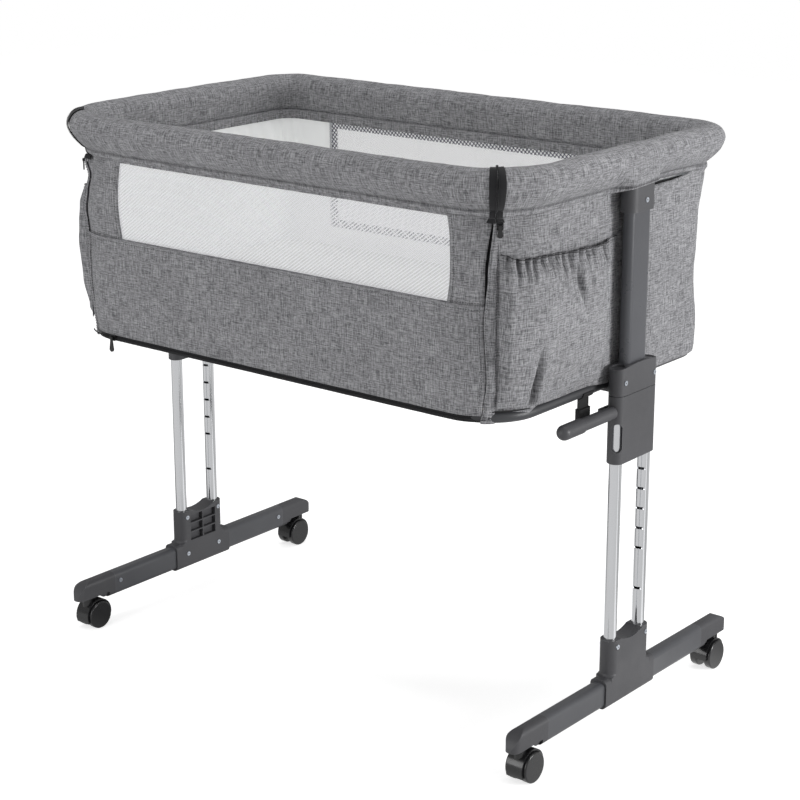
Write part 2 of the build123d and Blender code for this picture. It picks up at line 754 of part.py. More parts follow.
# ---------------------------------------------------------------- sockets
base_top = socket_bottom + socket_base
skirt_y = tube_ys[1] + socket_r + socket_blend
saddle_half = tube_pitch / 2 - tube_r
saddle_r = (saddle_half ** 2 + socket_dip ** 2) / (2 * socket_dip)
field_z = base_top + (socket_top - socket_dip - base_top) / 2
cell_width = (rib_field_width - rib) / 2
cell_height = (rib_field_height - (rib_rows - 1) * rib) / rib_rows
screw_z = socket_top - screw_drop
low_screw_z = bar_bottom + bar_height / 2 + rivet_d / 2
bar_middle = bar_bottom + bar_height / 2
with BuildPart() as leg_socket:
    # boss round the tubes
    with BuildSketch(Plane.XY.offset(bar_middle)):
        obround(leg_x, leg_y, tube_pitch, socket_r)
    extrude(amount=socket_top - bar_middle)
    # round skirts that blend the boss into the base
    with BuildSketch(Plane.YZ.offset(leg_x)):
        with BuildLine():
            CenterArc((skirt_y, base_top + socket_blend), socket_blend, 180, 90)
            Polyline(
                (skirt_y, base_top),
                (skirt_y, bar_middle),
                (skirt_y - socket_blend, bar_middle),
                (skirt_y - socket_blend, base_top + socket_blend),
            )
        make_face()
    revolve(axis=Axis((leg_x, tube_ys[1], 0), (0, 0, 1)))
    mirror(about=Plane.XZ.offset(-leg_y))
    with BuildSketch(Plane.YZ.offset(leg_x)):
        with Locations((leg_y, 0)):
            Rectangle(socket_length, 2 * socket_top)
    extrude(amount=socket_r, both=True, mode=Mode.INTERSECT)
    # base round the bar
    with BuildSketch(Plane.XZ.offset(-leg_y)):
        with Locations((leg_x, socket_bottom + socket_base / 2)):
            RectangleRounded(2 * socket_r, socket_base, bar_round)
    extrude(amount=socket_length / 2, both=True)
    with BuildSketch(Plane.XZ.offset(-leg_y)):
        with Locations((leg_x, bar_middle)):
            RectangleRounded(bar_width, bar_height, bar_round)
    extrude(amount=socket_length, both=True, mode=Mode.SUBTRACT)
    # saddle between the tubes
    with BuildSketch(Plane.YZ.offset(leg_x)):
        with Locations((leg_y, socket_top - socket_dip + saddle_r)):
            Circle(saddle_r)
    extrude(amount=socket_r, both=True, mode=Mode.SUBTRACT)
    # holes that take the tubes
    with BuildSketch(Plane.XY.offset(tube_bottom)):
        with Locations((leg_x, tube_ys[0]), (leg_x, tube_ys[1])):
            Circle(tube_r)
    extrude(amount=socket_top, mode=Mode.SUBTRACT)
    # ribbed field on the inner face
    with BuildSketch(Plane.YZ.offset(leg_x - socket_r)):
        with Locations((leg_y, field_z)):
            with GridLocations(cell_width + rib, cell_height + rib, 2, rib_rows):
                Rectangle(cell_width, cell_height)
    extrude(amount=rib_field_depth, mode=Mode.SUBTRACT)
    # flat seats for the upper screws, on both faces
    with BuildSketch(Plane.YZ.offset(leg_x + socket_r - rivet_sink)):
        with Locations((tube_ys[0], screw_z), (tube_ys[1], screw_z)):
            Circle(rivet_d / 2 + seat_gap)
    extrude(amount=socket_r, mode=Mode.SUBTRACT)
    with BuildSketch(Plane.YZ.offset(leg_x - socket_r + rivet_sink)):
        with Locations((tube_ys[0], screw_z), (tube_ys[1], screw_z)):
            Circle(rivet_d / 2 + seat_gap)
    extrude(amount=-socket_r, mode=Mode.SUBTRACT)
save_pair(leg_socket.part, "leg_socket")


# ---------------------------------------------------------------- feet
with BuildPart() as foot_bar:
    with BuildSketch(Plane.XZ.offset(-leg_y)):
        with Locations((leg_x, bar_middle)):
            RectangleRounded(bar_width, bar_height, bar_round)
            RectangleRounded(
                bar_width - 2 * bar_wall,
                bar_height - 2 * bar_wall,
                bar_round - bar_wall,
                mode=Mode.SUBTRACT,
            )
    extrude(amount=bar_length / 2, both=True)
save_pair(foot_bar.part, "foot_bar")

cap_joint = leg_y - bar_length / 2
cap_tip = cap_joint - cap_length
swivel_y = leg_y - foot_length / 2 + caster_inset
nose_y = cap_tip + cap_nose
nose_rise = bar_top - cap_under
with BuildPart() as foot_cap_front:
    # side outline: heel, raised underside and rounded nose
    with BuildSketch(Plane.YZ.offset(leg_x)):
        with BuildLine():
            EllipticalCenterArc((nose_y, cap_under), cap_nose, nose_rise, start_angle=90, arc_size=90)
            Polyline(
                (cap_tip, cap_under),
                (cap_joint - cap_heel, cap_under),
                (cap_joint - cap_heel, bar_bottom),
                (cap_joint, bar_bottom),
                (cap_joint, bar_top),
                (nose_y, bar_top),
            )
        make_face()
    extrude(amount=bar_width / 2, both=True)
    # rounded along its top like the bar, and round in plan at the nose
    with BuildSketch(Plane.XZ.offset(-cap_joint)):
        with Locations((leg_x, bar_middle)):
            RectangleRounded(bar_width, bar_height, bar_round)
    extrude(amount=cap_length, mode=Mode.INTERSECT)
    with BuildSketch(Plane.XY.offset(bar_bottom)):
        obround(leg_x, cap_joint, 2 * cap_length - bar_width, bar_width / 2)
    extrude(amount=bar_height, mode=Mode.INTERSECT)
    # spigot inside the bar
    with BuildSketch(Plane.XZ.offset(-cap_joint)):
        with Locations((leg_x, bar_middle)):
            RectangleRounded(
                bar_width - 2 * bar_wall,
                bar_height - 2 * bar_wall,
                bar_round - bar_wall,
            )
    extrude(amount=-cap_spigot)
    # half-round lug under the step
    with BuildSketch(Plane.YZ.offset(leg_x)):
        with Locations((cap_joint - cap_heel - cap_lug_d / 2, cap_under)):
            Circle(cap_lug_d / 2)
    extrude(amount=cap_lug_width / 2, both=True)
    # hole for the caster's stem
    with BuildSketch(Plane.XY.offset(cap_under)):
        with Locations((leg_x, swivel_y)):
            Circle(stem_d / 2 + stem_fit)
    extrude(amount=stem_length + seat_gap, mode=Mode.SUBTRACT)
save_pair(foot_cap_front.part, "foot_cap_front")

with BuildPart() as foot_cap_rear:
    mirror(foot_cap_front.part, about=Plane.XZ.offset(-leg_y))
save_pair(foot_cap_rear.part, "foot_cap_rear")

# screws: two on each socket's outer face, four on its inner face, two on the bar
bar_screw_y = bar_length / 2 - bar_screw_inset
with BuildPart() as foot_screws:
    with BuildSketch(Plane.YZ.offset(leg_x + socket_r - rivet_sink)):
        with Locations((tube_ys[0], screw_z), (tube_ys[1], screw_z)):
            Circle(rivet_d / 2)
    extrude(amount=rivet_head)
    with BuildSketch(Plane.YZ.offset(leg_x - socket_r + rivet_sink)):
        with Locations((tube_ys[0], screw_z), (tube_ys[1], screw_z)):
            Circle(rivet_d / 2)
    extrude(amount=-rivet_head)
    with BuildSketch(Plane.YZ.offset(leg_x - socket_r)):
        with Locations((tube_ys[0], low_screw_z), (tube_ys[1], low_screw_z)):
            Circle(rivet_d / 2)
    extrude(amount=rivet_sink - rivet_head)
    with BuildSketch(Plane.YZ.offset(leg_x - bar_width / 2)):
        with Locations((leg_y - bar_screw_y, low_screw_z), (leg_y + bar_screw_y, low_screw_z)):
            Circle(rivet_d / 2)
    extrude(amount=rivet_sink - rivet_head)
save_pair(foot_screws.part, "foot_screws")

# ---------------------------------------------------------------- casters
axle_y = swivel_y + caster_trail
web_half = hood_web / 2
hood_half = web_half + hood_cover
wheel_in = web_half + seat_gap
wheel_out = wheel_in + wheel_width
with BuildPart() as caster_hood:
    # barrel over both wheels
    with BuildSketch(Plane.YZ.offset(leg_x)):
        with Locations((axle_y, wheel_r)):
            Circle(hood_r)
    extrude(amount=hood_half, both=True)
    with BuildSketch(Plane.XY.offset(wheel_r)):
        with Locations((leg_x, swivel_y)):
            Circle(neck_d / 2)
    extrude(amount=neck_top - wheel_r)
    # room for the wheels
    with BuildSketch(Plane.YZ.offset(leg_x + web_half)):
        with Locations((axle_y, wheel_r)):
            Circle(wheel_r + hood_air)
    extrude(amount=wheel_r, mode=Mode.SUBTRACT)
    with BuildSketch(Plane.YZ.offset(leg_x - web_half)):
        with Locations((axle_y, wheel_r)):
            Circle(wheel_r + hood_air)
    extrude(amount=-wheel_r, mode=Mode.SUBTRACT)
    # open underside: level with the axle at the back, lower at the nose
    with BuildSketch(Plane.YZ.offset(leg_x)):
        with BuildLine():
            Polyline(
                (axle_y + 2 * hood_r, wheel_r),
                (axle_y + axle_d, wheel_r - axle_d),
                (axle_y - axle_d, wheel_r - 2 * axle_d),
                (axle_y - 2 * hood_r, wheel_r - hood_lip),
                (axle_y - 2 * hood_r, -wheel_r),
                (axle_y + 2 * hood_r, -wheel_r),
                close=True,
            )
        make_face()
    extrude(amount=wheel_r, both=True, mode=Mode.SUBTRACT)
    with BuildSketch(Plane.YZ.offset(leg_x)):
        with Locations((axle_y, wheel_r)):
            Circle(axle_d / 2 + axle_fit)
    extrude(amount=wheel_r, both=True, mode=Mode.SUBTRACT)
    with BuildSketch(Plane.XY.offset(neck_top)):
        with Locations((leg_x, swivel_y)):
            Circle(stem_d / 2)
    extrude(amount=stem_length)
save_pair(caster_hood.part, "caster_hood_front")

with BuildPart() as caster_wheels:
    with BuildSketch(Plane.YZ.offset(leg_x + wheel_in)):
        with Locations((axle_y, wheel_r)):
            Circle(wheel_r)
    extrude(amount=wheel_width)
    fillet(caster_wheels.edges(), wheel_edge)
    mirror(about=Plane.YZ.offset(leg_x))
    with BuildSketch(Plane.YZ.offset(leg_x)):
        with Locations((axle_y, wheel_r)):
            Circle(axle_d / 2)
    extrude(amount=wheel_in + wheel_edge, both=True)
save_pair(caster_wheels.part, "caster_wheels_front")

with BuildPart() as rear_hood:
    mirror(caster_hood.part, about=Plane.XZ.offset(-leg_y))
save_pair(rear_hood.part, "caster_hood_rear")

with BuildPart() as rear_wheels:
    mirror(caster_wheels.part, about=Plane.XZ.offset(-leg_y))
save_pair(rear_wheels.part, "caster_wheels_rear")

# ---------------------------------------------------------------- cot hardware
# rivet heads on the upper housings and the post caps
cap_face = post_x + post_thick / 2 + cap_wall
with BuildPart() as cot_rivets:
    with BuildSketch(Plane.YZ.offset(leg_x + housing_r - rivet_sink)):
        with Locations((tube_ys[0], rivet_z), (tube_ys[1], rivet_z)):
            Circle(rivet_d / 2)
    extrude(amount=rivet_head)
    with BuildSketch(Plane.YZ.offset(cap_face)):
        with Locations((leg_y + cap_rivet_shift, cap_top - cap_rivet_drop)):
            Circle(rivet_d / 2)
    extrude(amount=rivet_head - rivet_sink)
    mirror(about=Plane.YZ)
save(cot_rivets.part, "cot_rivets")

# webbing straps that hang from the lower frame, each with its buckle
strap_y = leg_y - strap_offset
strap_r = frame_r + strap_thick
buckle_z = frame_height - strap_drop
with BuildPart() as bed_straps:
    with BuildSketch(Plane.XZ.offset(-strap_y)):
        with Locations((frame_x, frame_height)):
            Circle(strap_r)
        with Locations((frame_x, frame_height + strap_r)):
            Rectangle(2 * strap_r, 2 * strap_r, mode=Mode.SUBTRACT)
        with Locations((frame_x, (frame_height + buckle_z) / 2)):
            Rectangle(strap_thick, frame_height - buckle_z)
        with Locations((frame_x, frame_height)):
            Circle(frame_r, mode=Mode.SUBTRACT)
    extrude(amount=strap_width / 2, both=True)
    with BuildSketch(Plane.XY.offset(buckle_z - buckle_height)):
        with Locations((frame_x, strap_y)):
            RectangleRounded(buckle_thick, buckle_width, buckle_thick / 3)
    extrude(amount=buckle_height)
    fillet(bed_straps.edges().group_by(Axis.Z)[0], buckle_thick / 6)
    mirror(about=Plane.YZ)
save(bed_straps.part, "bed_straps")

# ---------------------------------------------------------------- zip sliders and pulls
ear_reach = pull_neck / 2 + seat_gap
pin_out = slider_thick + ear_reach


def zip_slider(place, length, width):
    """Slider body that lies on a face, with two ears and the pin of its pull."""
    with BuildPart() as slider:
        with BuildSketch(place):
            RectangleRounded(length, width, width / 4)
        extrude(amount=slider_thick)
        for side in (-1, 1):
            with BuildSketch(place.offset(slider_thick)):
                with Locations((side * (pull_neck / 2 + seat_gap + ear_thick / 2), 0)):
                    Rectangle(ear_thick, pull_neck)
            extrude(amount=ear_reach + pull_pin_d)
        pin_plane = Plane(
            origin=place.from_local_coords((0, 0, pin_out)),
            x_dir=place.y_dir,
            z_dir=place.x_dir,
        )
        with BuildSketch(pin_plane):
            Circle(pull_pin_d / 2)
        extrude(amount=pull_neck / 2 + seat_gap, both=True)
    return slider.part


def zip_pull(place, length):
    """Pull that hangs from a slider's pin: an eye, a neck and a rounded tab."""
    with BuildPart() as pull:
        with BuildSketch(place.offset(pin_out - pull_thick / 2)):
            with BuildLine():
                tab_r = pull_width / 2
                neck_r = pull_neck / 2
                Polyline(
                    (-tab_r, tab_r - length),
                    (-neck_r, -pull_neck),
                    (-neck_r, 0),
                    (neck_r, 0),
                    (neck_r, -pull_neck),
                    (tab_r, tab_r - length),
                )
                CenterArc((0, tab_r - length), tab_r, 0, -180)
            make_face()
        extrude(amount=pull_thick)
        pin_plane = Plane(
            origin=place.from_local_coords((0, 0, pin_out)),
            x_dir=place.y_dir,
            z_dir=place.x_dir,
        )
        with BuildSketch(pin_plane):
            Circle(neck_r)
        extrude(amount=neck_r, both=True)
        with BuildSketch(pin_plane):
            Circle(pull_pin_d / 2 + pull_fit)
        extrude(amount=pull_width, both=True, mode=Mode.SUBTRACT)
    return pull.part


bottom_place = Plane(
    origin=(slider_inset - front_corner_x, body_front, body_bottom - tape_height / 2),
    x_dir=(1, 0, 0),
    z_dir=(0, -1, 0),
)
save(zip_slider(bottom_place, slider_length, slider_width), "bottom_zip_slider")
save(zip_pull(bottom_place, pull_length), "bottom_zip_pull")

# the corner sliders rest on the end panels, just behind the zips
body_corner_r = rim_front_radius - body_inset
corner_turn = zip_angle + math.degrees(slider_width / 2 / body_corner_r) + 2 * zip_gap - 90
corner_out = Vector(math.cos(math.radians(corner_turn)), math.sin(math.radians(corner_turn)), 0)
corner_place = Plane(
    origin=Vector(front_corner_x, front_corner_y, hem - slider_length) + corner_out * body_corner_r,
    x_dir=(-corner_out.Y, corner_out.X, 0),
    z_dir=corner_out,
)
with BuildPart() as corner_sliders:
    add(zip_slider(corner_place, slider_width, slider_length))
    mirror(about=Plane.YZ)
save(corner_sliders.part, "corner_sliders")
save_pair(zip_pull(corner_place, corner_pull_length), "corner_pull")
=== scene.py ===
import math

import bmesh
import bpy
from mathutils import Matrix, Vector, noise


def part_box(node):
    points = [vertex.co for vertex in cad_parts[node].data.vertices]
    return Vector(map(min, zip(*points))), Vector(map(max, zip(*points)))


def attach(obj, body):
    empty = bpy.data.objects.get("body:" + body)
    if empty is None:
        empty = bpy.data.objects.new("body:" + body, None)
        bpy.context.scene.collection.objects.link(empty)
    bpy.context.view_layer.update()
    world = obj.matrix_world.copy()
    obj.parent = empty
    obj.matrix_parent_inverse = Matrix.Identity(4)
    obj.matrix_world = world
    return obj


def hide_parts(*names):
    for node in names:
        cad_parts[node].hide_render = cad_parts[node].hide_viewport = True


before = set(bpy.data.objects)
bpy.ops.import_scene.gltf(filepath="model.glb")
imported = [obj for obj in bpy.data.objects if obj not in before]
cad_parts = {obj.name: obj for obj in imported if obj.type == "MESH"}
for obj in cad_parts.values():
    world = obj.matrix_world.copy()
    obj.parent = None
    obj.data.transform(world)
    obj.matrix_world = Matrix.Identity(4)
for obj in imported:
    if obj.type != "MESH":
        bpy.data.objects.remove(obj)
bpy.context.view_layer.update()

# ---------------- studio
# A pale sweep of floor under a soft white sky, with one strong lamp off the right-hand end, a weaker one
# in front and one overhead.  Three dark cards stand where only polished metal sees them.
scene = bpy.context.scene
scene.view_settings.view_transform = "Standard"


def put(name, data):
    """New object in the scene with this data."""
    made = bpy.data.objects.new(name, data)
    scene.collection.objects.link(made)
    return made


camera_data = bpy.data.cameras.new("studio_camera")
camera_data.lens = 91.9
camera_data.sensor_width = 36.0
camera = put("studio_camera", camera_data)
camera.location = (1.848, -2.2663, 1.2844)
camera.rotation_euler = (math.radians(90 - 16.8), 0, math.radians(38.81))
scene.camera = camera

lamp_aim = Vector((0, 0, 0.55))
for lamp_name, lamp_place, lamp_size, lamp_power in (
    ("key", (3.1, 0.8, 0.95), 0.9, 62),
    ("fill", (-0.8, -3.2, 1.1), 1.8, 34),
    ("top", (0, 0.3, 3.2), 2.0, 26),
):
    lamp_data = bpy.data.lights.new(lamp_name, "AREA")
    lamp_data.size = lamp_size
    lamp_data.energy = lamp_power
    lamp = put(lamp_name, lamp_data)
    lamp.location = lamp_place
    lamp.rotation_euler = (lamp_aim - Vector(lamp_place)).to_track_quat("-Z", "Y").to_euler()


def feed(made, *values, **named):
    """Give a node's inputs, in order or by name, a value or another node's output."""
    by_name = [(key.replace("_", " "), value) for key, value in named.items()]
    for key, value in [*enumerate(values), *by_name]:
        if isinstance(value, bpy.types.NodeSocket):
            made.id_data.links.new(value, made.inputs[key])
        else:
            made.inputs[key].default_value = value
    return made


def node(tree, kind, *values, settings=(), **named):
    """New node with some of its settings and inputs given."""
    made = tree.nodes.new(kind)
    for key, value in dict(settings).items():
        setattr(made, key, value)
    return feed(made, *values, **named)


def new_material(name, colour, roughness, **more):
    """Node material with its plain values set on the shader, ready for detail."""
    material = bpy.data.materials.new(name)
    material.use_nodes = True
    tree = material.node_tree
    shader = feed(tree.nodes["Principled BSDF"], Base_Color=(*colour, 1), Roughness=roughness, **more)
    return material, tree, shader


def between(tree, factor, first, second, mode="MIX"):
    """Colour between two; the factor and either colour may be another node's output."""
    made = node(tree, "ShaderNodeMix", settings={"data_type": "RGBA", "blend_type": mode})
    feed(made, factor)
    for index, value in ((6, first), (7, second)):
        if isinstance(value, bpy.types.NodeSocket):
            tree.links.new(value, made.inputs[index])
        else:
            made.inputs[index].default_value = (*value, 1)
    return made.outputs[2]


def mapped(tree, value, low, high, first=0.0, last=1.0):
    """A node's output brought from one range of values to another."""
    made = node(tree, "ShaderNodeMapRange", Value=value, From_Min=low, From_Max=high, To_Min=first, To_Max=last)
    return made.outputs["Result"]


def plain_mesh(name, points, faces, edges=()):
    """New object in the scene with a mesh of these points and faces or edges."""
    mesh = bpy.data.meshes.new(name)
    mesh.from_pydata([tuple(point) for point in points], edges, faces)
    return put(name, mesh)


world = bpy.data.worlds.new("studio_sky")
world.use_nodes = True
scene.world = world
sky_tree = world.node_tree
sky = feed(sky_tree.nodes["Background"], Color=(1, 1, 1, 1), Strength=0.40)
backdrop = node(sky_tree, "ShaderNodeBackground", Color=(1, 1, 1, 1), Strength=1.0)
sky_ray = node(sky_tree, "ShaderNodeLightPath").outputs["Is Camera Ray"]
sky_mix = node(sky_tree, "ShaderNodeMixShader", sky_ray, sky.outputs[0], backdrop.outputs[0])
feed(sky_tree.nodes["World Output"], Surface=sky_mix.outputs[0])

floor_half = 6.0
floor_corners = [(x * floor_half, y * floor_half, 0) for x, y in ((-1, -1), (1, -1), (1, 1), (-1, 1))]
floor = plain_mesh("studio_floor", floor_corners, [(0, 1, 2, 3)])
floor_material, tree, shader = new_material("floor_pale", (0.82, 0.82, 0.82), 0.9, Specular_IOR_Level=0.0)
floor_ray = node(tree, "ShaderNodeLightPath")
floor_glow = node(tree, "ShaderNodeEmission", Strength=0.67)
floor_dark = node(tree, "ShaderNodeEmission", Strength=0.0)
floor_seen = node(
    tree, "ShaderNodeMixShader", floor_ray.outputs["Is Camera Ray"], floor_dark.outputs[0], floor_glow.outputs[0]
)
floor_sum = node(tree, "ShaderNodeAddShader", shader.outputs[0], floor_seen.outputs[0])
# Painted reflection: glossy rays see the floor as a soft grey glow with one strong light band and one dark band
# across it, which polished metal shows.
floor_place = node(tree, "ShaderNodeSeparateXYZ", Vector=node(tree, "ShaderNodeTexCoord").outputs["Object"])
floor_bands = []
for name, stops in (
    ("right_half", ((0.44, 0.66), (0.502, 0.62), (0.508, 1.0), (0.520, 1.0), (0.528, 0.42), (0.60, 0.68))),
    ("left_half", ((0.44, 0.66), (0.475, 0.66), (0.484, 0.16), (0.497, 0.16), (0.503, 0.60), (0.60, 0.60))),
):
    ramp = node(tree, "ShaderNodeValToRGB", settings={"name": name})
    for where, level in stops[2:]:
        ramp.color_ramp.elements.new(where)
    for element, (where, level) in zip(ramp.color_ramp.elements, stops):
        element.position = where
        element.color = (level, level, level, 1)
    feed(ramp, Fac=mapped(tree, floor_place.outputs["Y"], -floor_half, floor_half))
    floor_bands.append(ramp.outputs["Color"])
right_side = mapped(tree, floor_place.outputs["X"], -0.35, 0.05)
painted_floor_reflection = node(tree, "ShaderNodeEmission", between(tree, right_side, floor_bands[1], floor_bands[0]), 1.0)
floor_out = node(
    tree, "ShaderNodeMixShader", floor_ray.outputs["Is Glossy Ray"], floor_sum.outputs[0], painted_floor_reflection.outputs[0]
)
feed(tree.nodes["Material Output"], Surface=floor_out.outputs[0])
floor.data.materials.append(floor_material)

card_material = new_material("card_black", (0.02, 0.02, 0.02), 0.9)[0]
card_foot = 0.02
card_lift = Vector((0, 0, 1.9))
for card_name, card_x, card_y, card_half in (
    ("card_right", 2.6, -1.0, 0.12),
    ("card_front", 0.6, -3.2, 0.16),
    ("card_left", -1.9, -2.4, 0.25),
):
    across = Vector((-card_y, card_x, 0)).normalized() * card_half
    left, right = (Vector((card_x, card_y, card_foot)) + way * across for way in (-1, 1))
    card = plain_mesh(card_name, [left, right, right + card_lift, left + card_lift], [(0, 1, 2, 3)])
    card.data.materials.append(card_material)
    card.visible_camera = False
    card.visible_diffuse = False
    card.visible_shadow = False


# ---------------- casters
# Twin-wheel casters of black nylon: a hood moulded over two smooth wheels on one axle.
# The hood swivels on a steel stem pressed into the foot's end cap.
def dress(material, *names):
    """Give CAD nodes a finish."""
    for name in names:
        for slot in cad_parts[name].material_slots:
            slot.material = material


sides = (("right", 1), ("left", -1))


def both(*names):
    """Right- and left-hand names of pieces."""
    return [f"{name}_{side_name}" for name in names for side_name, side in sides]


def own_place(tree):
    """Place on the piece itself, for its textures."""
    return node(tree, "ShaderNodeTexCoord").outputs["Object"]


def speckle(tree, place, scale, detail, **more):
    """Cloudy noise at a scale."""
    return node(tree, "ShaderNodeTexNoise", Vector=place, Scale=scale, Detail=detail, **more).outputs["Fac"]


def stretched(tree, place, scale):
    """Place with its axes scaled, to draw a texture out along one of them."""
    return node(tree, "ShaderNodeMapping", Vector=place, Scale=scale).outputs[0]


def relief(tree, shader, strength, distance, height):
    """Fine bumps on a finish."""
    bump = node(tree, "ShaderNodeBump", Strength=strength, Distance=distance, Height=height)
    feed(shader, Normal=bump.outputs["Normal"])


def combined(tree, operation, *values, kind="ShaderNodeMath"):
    """Result of an operation on values or other nodes' outputs."""
    return node(tree, kind, *values, settings={"operation": operation}).outputs["Value"]


def moulded(name, colour, roughness, grain, depth, worn=0.0, **more):
    """Moulded or coated finish: fine grain, slow changes of tone, and edges rubbed a little paler."""
    material, tree, shader = new_material(name, colour, roughness, **more)
    place = own_place(tree)
    tones = ((0.80, 0), (1.28, 0.004), (2.4, 0.03))
    deep, pale, rubbed = ([min(1.0, c * scale + lift) for c in colour] for scale, lift in tones)
    skin = between(tree, speckle(tree, place, 9.0, 3.0), deep, pale)
    if worn:
        soft = node(tree, "ShaderNodeBevel", Radius=0.0011, settings={"samples": 4}).outputs["Normal"]
        flat = node(tree, "ShaderNodeNewGeometry").outputs["Normal"]
        close = combined(tree, "DOT_PRODUCT", soft, flat, kind="ShaderNodeVectorMath")
        skin = between(tree, mapped(tree, close, 0.99, 0.82, 0.0, worn), skin, rubbed)
    gloss = mapped(tree, speckle(tree, place, 34.0, 4.0), 0.3, 0.7, roughness * 0.86, min(1.0, roughness * 1.16))
    feed(shader, Base_Color=skin, Roughness=gloss)
    relief(tree, shader, depth, 0.0004, speckle(tree, place, grain, 2.0))
    return material


caster_black = moulded(
    "caster_black", (0.009, 0.009, 0.010), 0.26, 900, 0.12, Coat_Weight=0.35, Coat_Roughness=0.12
)
dress(caster_black, *both("caster_hood_front", "caster_hood_rear"))

# The wheels are of the same nylon, a little duller.
wheel_black = moulded("wheel_black", (0.009, 0.009, 0.010), 0.30, 1500, 0.15, Coat_Weight=0.4, Coat_Roughness=0.1)
dress(wheel_black, *both("caster_wheels_front", "caster_wheels_rear"))

# ---------------- feet
# Each foot is an oval steel bar, powder coated slate grey, with moulded end caps that hold the casters
# and a moulded socket clamped round its middle with zinc-plated screws.
bar_grey = moulded("bar_grey", (0.075, 0.077, 0.084), 0.36, 700, 0.18, 0.5)
dress(bar_grey, *both("foot_bar"))

charcoal = moulded("charcoal_plastic", (0.062, 0.062, 0.067), 0.48, 1600, 0.35, 0.35)
dress(charcoal, *both("foot_cap_front", "foot_cap_rear", "leg_socket"))

zinc = moulded("zinc_plate", (0.62, 0.66, 0.72), 0.28, 1200, 0.3, Metallic=1.0)
dress(zinc, "cot_rivets", *both("foot_screws"))

# ---------------- leg tubes
# Two chromed steel tubes stand in each socket; the rear one has the notches for the height settings.
# They are polished, with faint draw marks along them and a slight haze.
chrome, tree, shader = new_material("chrome", (0.82, 0.83, 0.85), 0.13, Metallic=1.0)
place = own_place(tree)
feed(shader, Roughness=mapped(tree, speckle(tree, place, 22.0, 3.0), 0.35, 0.75, 0.09, 0.2))
relief(tree, shader, 0.06, 0.0003, speckle(tree, stretched(tree, place, (1400, 1400, 6)), 1.0, 2.0))
dress(chrome, *both("front_tube", "rear_tube"))
dress(charcoal, *both("tube_plugs"))

# ---------------- slide housings, levers and posts
# The cot rides on the tubes in two moulded housings at each end, with a spring lever to let go of a notch.
# A coated oval steel post goes up from each housing to a cap that carries the rim.
dress(charcoal, *both("lower_housing", "upper_housing", "height_lever", "post_cap", "frame_clamp"))
post_grey = moulded("post_grey", (0.070, 0.072, 0.080), 0.30, 800, 0.14, 0.4)
dress(post_grey, *both("post"))

# ---------------- lower frame, straps and board
# One bent steel tube, coated slate grey, goes round the bottom of the cot under a plain board.
# A black webbing strap with a side-squeeze buckle hangs from it at each end.
frame_grey = moulded("frame_grey", (0.045, 0.046, 0.050), 0.42, 700, 0.2, 0.4)
dress(frame_grey, "lower_frame", "rim_frame", "front_rail")

webbing, tree, shader = new_material("webbing_black", (0.012, 0.012, 0.013), 0.75)
place = own_place(tree)
ribs = node(
    tree, "ShaderNodeTexWave", Vector=place, Scale=330.0, Distortion=1.0, settings={"bands_direction": "Z"}
).outputs["Fac"]
relief(tree, shader, 0.5, 0.0006, combined(tree, "MULTIPLY", ribs, speckle(tree, place, 900.0, 2.0)))
dress(webbing, "bed_straps")

board_brown, tree, shader = new_material("board_brown", (0.36, 0.27, 0.18), 0.7)
figure = speckle(tree, stretched(tree, own_place(tree), (6, 60, 60)), 1.0, 6.0, Distortion=0.6)
feed(shader, Base_Color=between(tree, figure, (0.27, 0.19, 0.12), (0.44, 0.34, 0.23)))
dress(board_brown, "bed_board")

# ---------------- mattress
# A soft pad, quilted on its edge and covered in white cotton, fills the floor of the cot.
# Air pressure in a short cloth run gives it the crown and the soft puckers of stuffed fabric.
def fabric(name, pale, deep, weave, depth, **more):
    """Plain-woven cloth: a fine weave at a given scale, with slow changes of tone."""
    material, tree, shader = new_material(name, pale, 0.85, Sheen_Weight=0.12, Specular_IOR_Level=0.2, **more)
    place = own_place(tree)
    feed(shader, Base_Color=between(tree, speckle(tree, place, 14.0, 4.0), deep, pale))
    fine = node(tree, "ShaderNodeTexVoronoi", Vector=place, Scale=weave, Randomness=0.35)
    relief(tree, shader, depth, 0.0004, fine.outputs["Distance"])
    return material


def puff(piece, pressure, cap, frames, held):
    """Blow a closed piece up a little as stuffed cloth; held(point) keeps a point where it is."""
    rest = [point.co.copy() for point in piece.data.vertices]
    still = piece.vertex_groups.new(name="still")
    still.add([i for i, point in enumerate(rest) if held(point)], 1.0, "REPLACE")
    cloth = piece.modifiers.new("cloth", "CLOTH")
    cloth.settings.vertex_group_mass = "still"
    cloth.settings.use_pressure = True
    cloth.settings.uniform_pressure_force = pressure
    cloth.settings.effector_weights.gravity = 0.0
    cloth.settings.quality = 4
    cloth.settings.tension_stiffness = 12
    cloth.settings.bending_stiffness = 0.6
    cloth.collision_settings.use_collision = False
    cloth.point_cache.frame_start = 1
    cloth.point_cache.frame_end = frames
    for step in range(1, frames + 1):
        scene.frame_set(step)
    shaped = piece.evaluated_get(bpy.context.evaluated_depsgraph_get())
    blown = [point.co.copy() for point in shaped.data.vertices]
    piece.modifiers.remove(cloth)
    scene.frame_set(1)
    for point, before, after in zip(piece.data.vertices, rest, blown):
        shift = after - before
        if shift.length > cap:
            shift *= cap / shift.length
        point.co = before + shift


def smooth(piece):
    """Shade a piece smoothly."""
    piece.data.polygons.foreach_set("use_smooth", [True] * len(piece.data.polygons))


def merged_copy(name, node_name):
    """Closed copy of a CAD node's mesh, its loose triangles joined up."""
    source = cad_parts[node_name]
    copy = put(name, source.data.copy())
    copy.data.transform(source.matrix_world)
    copy.data.materials.clear()
    sheet = bmesh.new()
    sheet.from_mesh(copy.data)
    bmesh.ops.remove_doubles(sheet, verts=sheet.verts, dist=0.00002)
    bmesh.ops.recalc_face_normals(sheet, faces=sheet.faces)
    sheet.to_mesh(copy.data)
    sheet.free()
    return copy


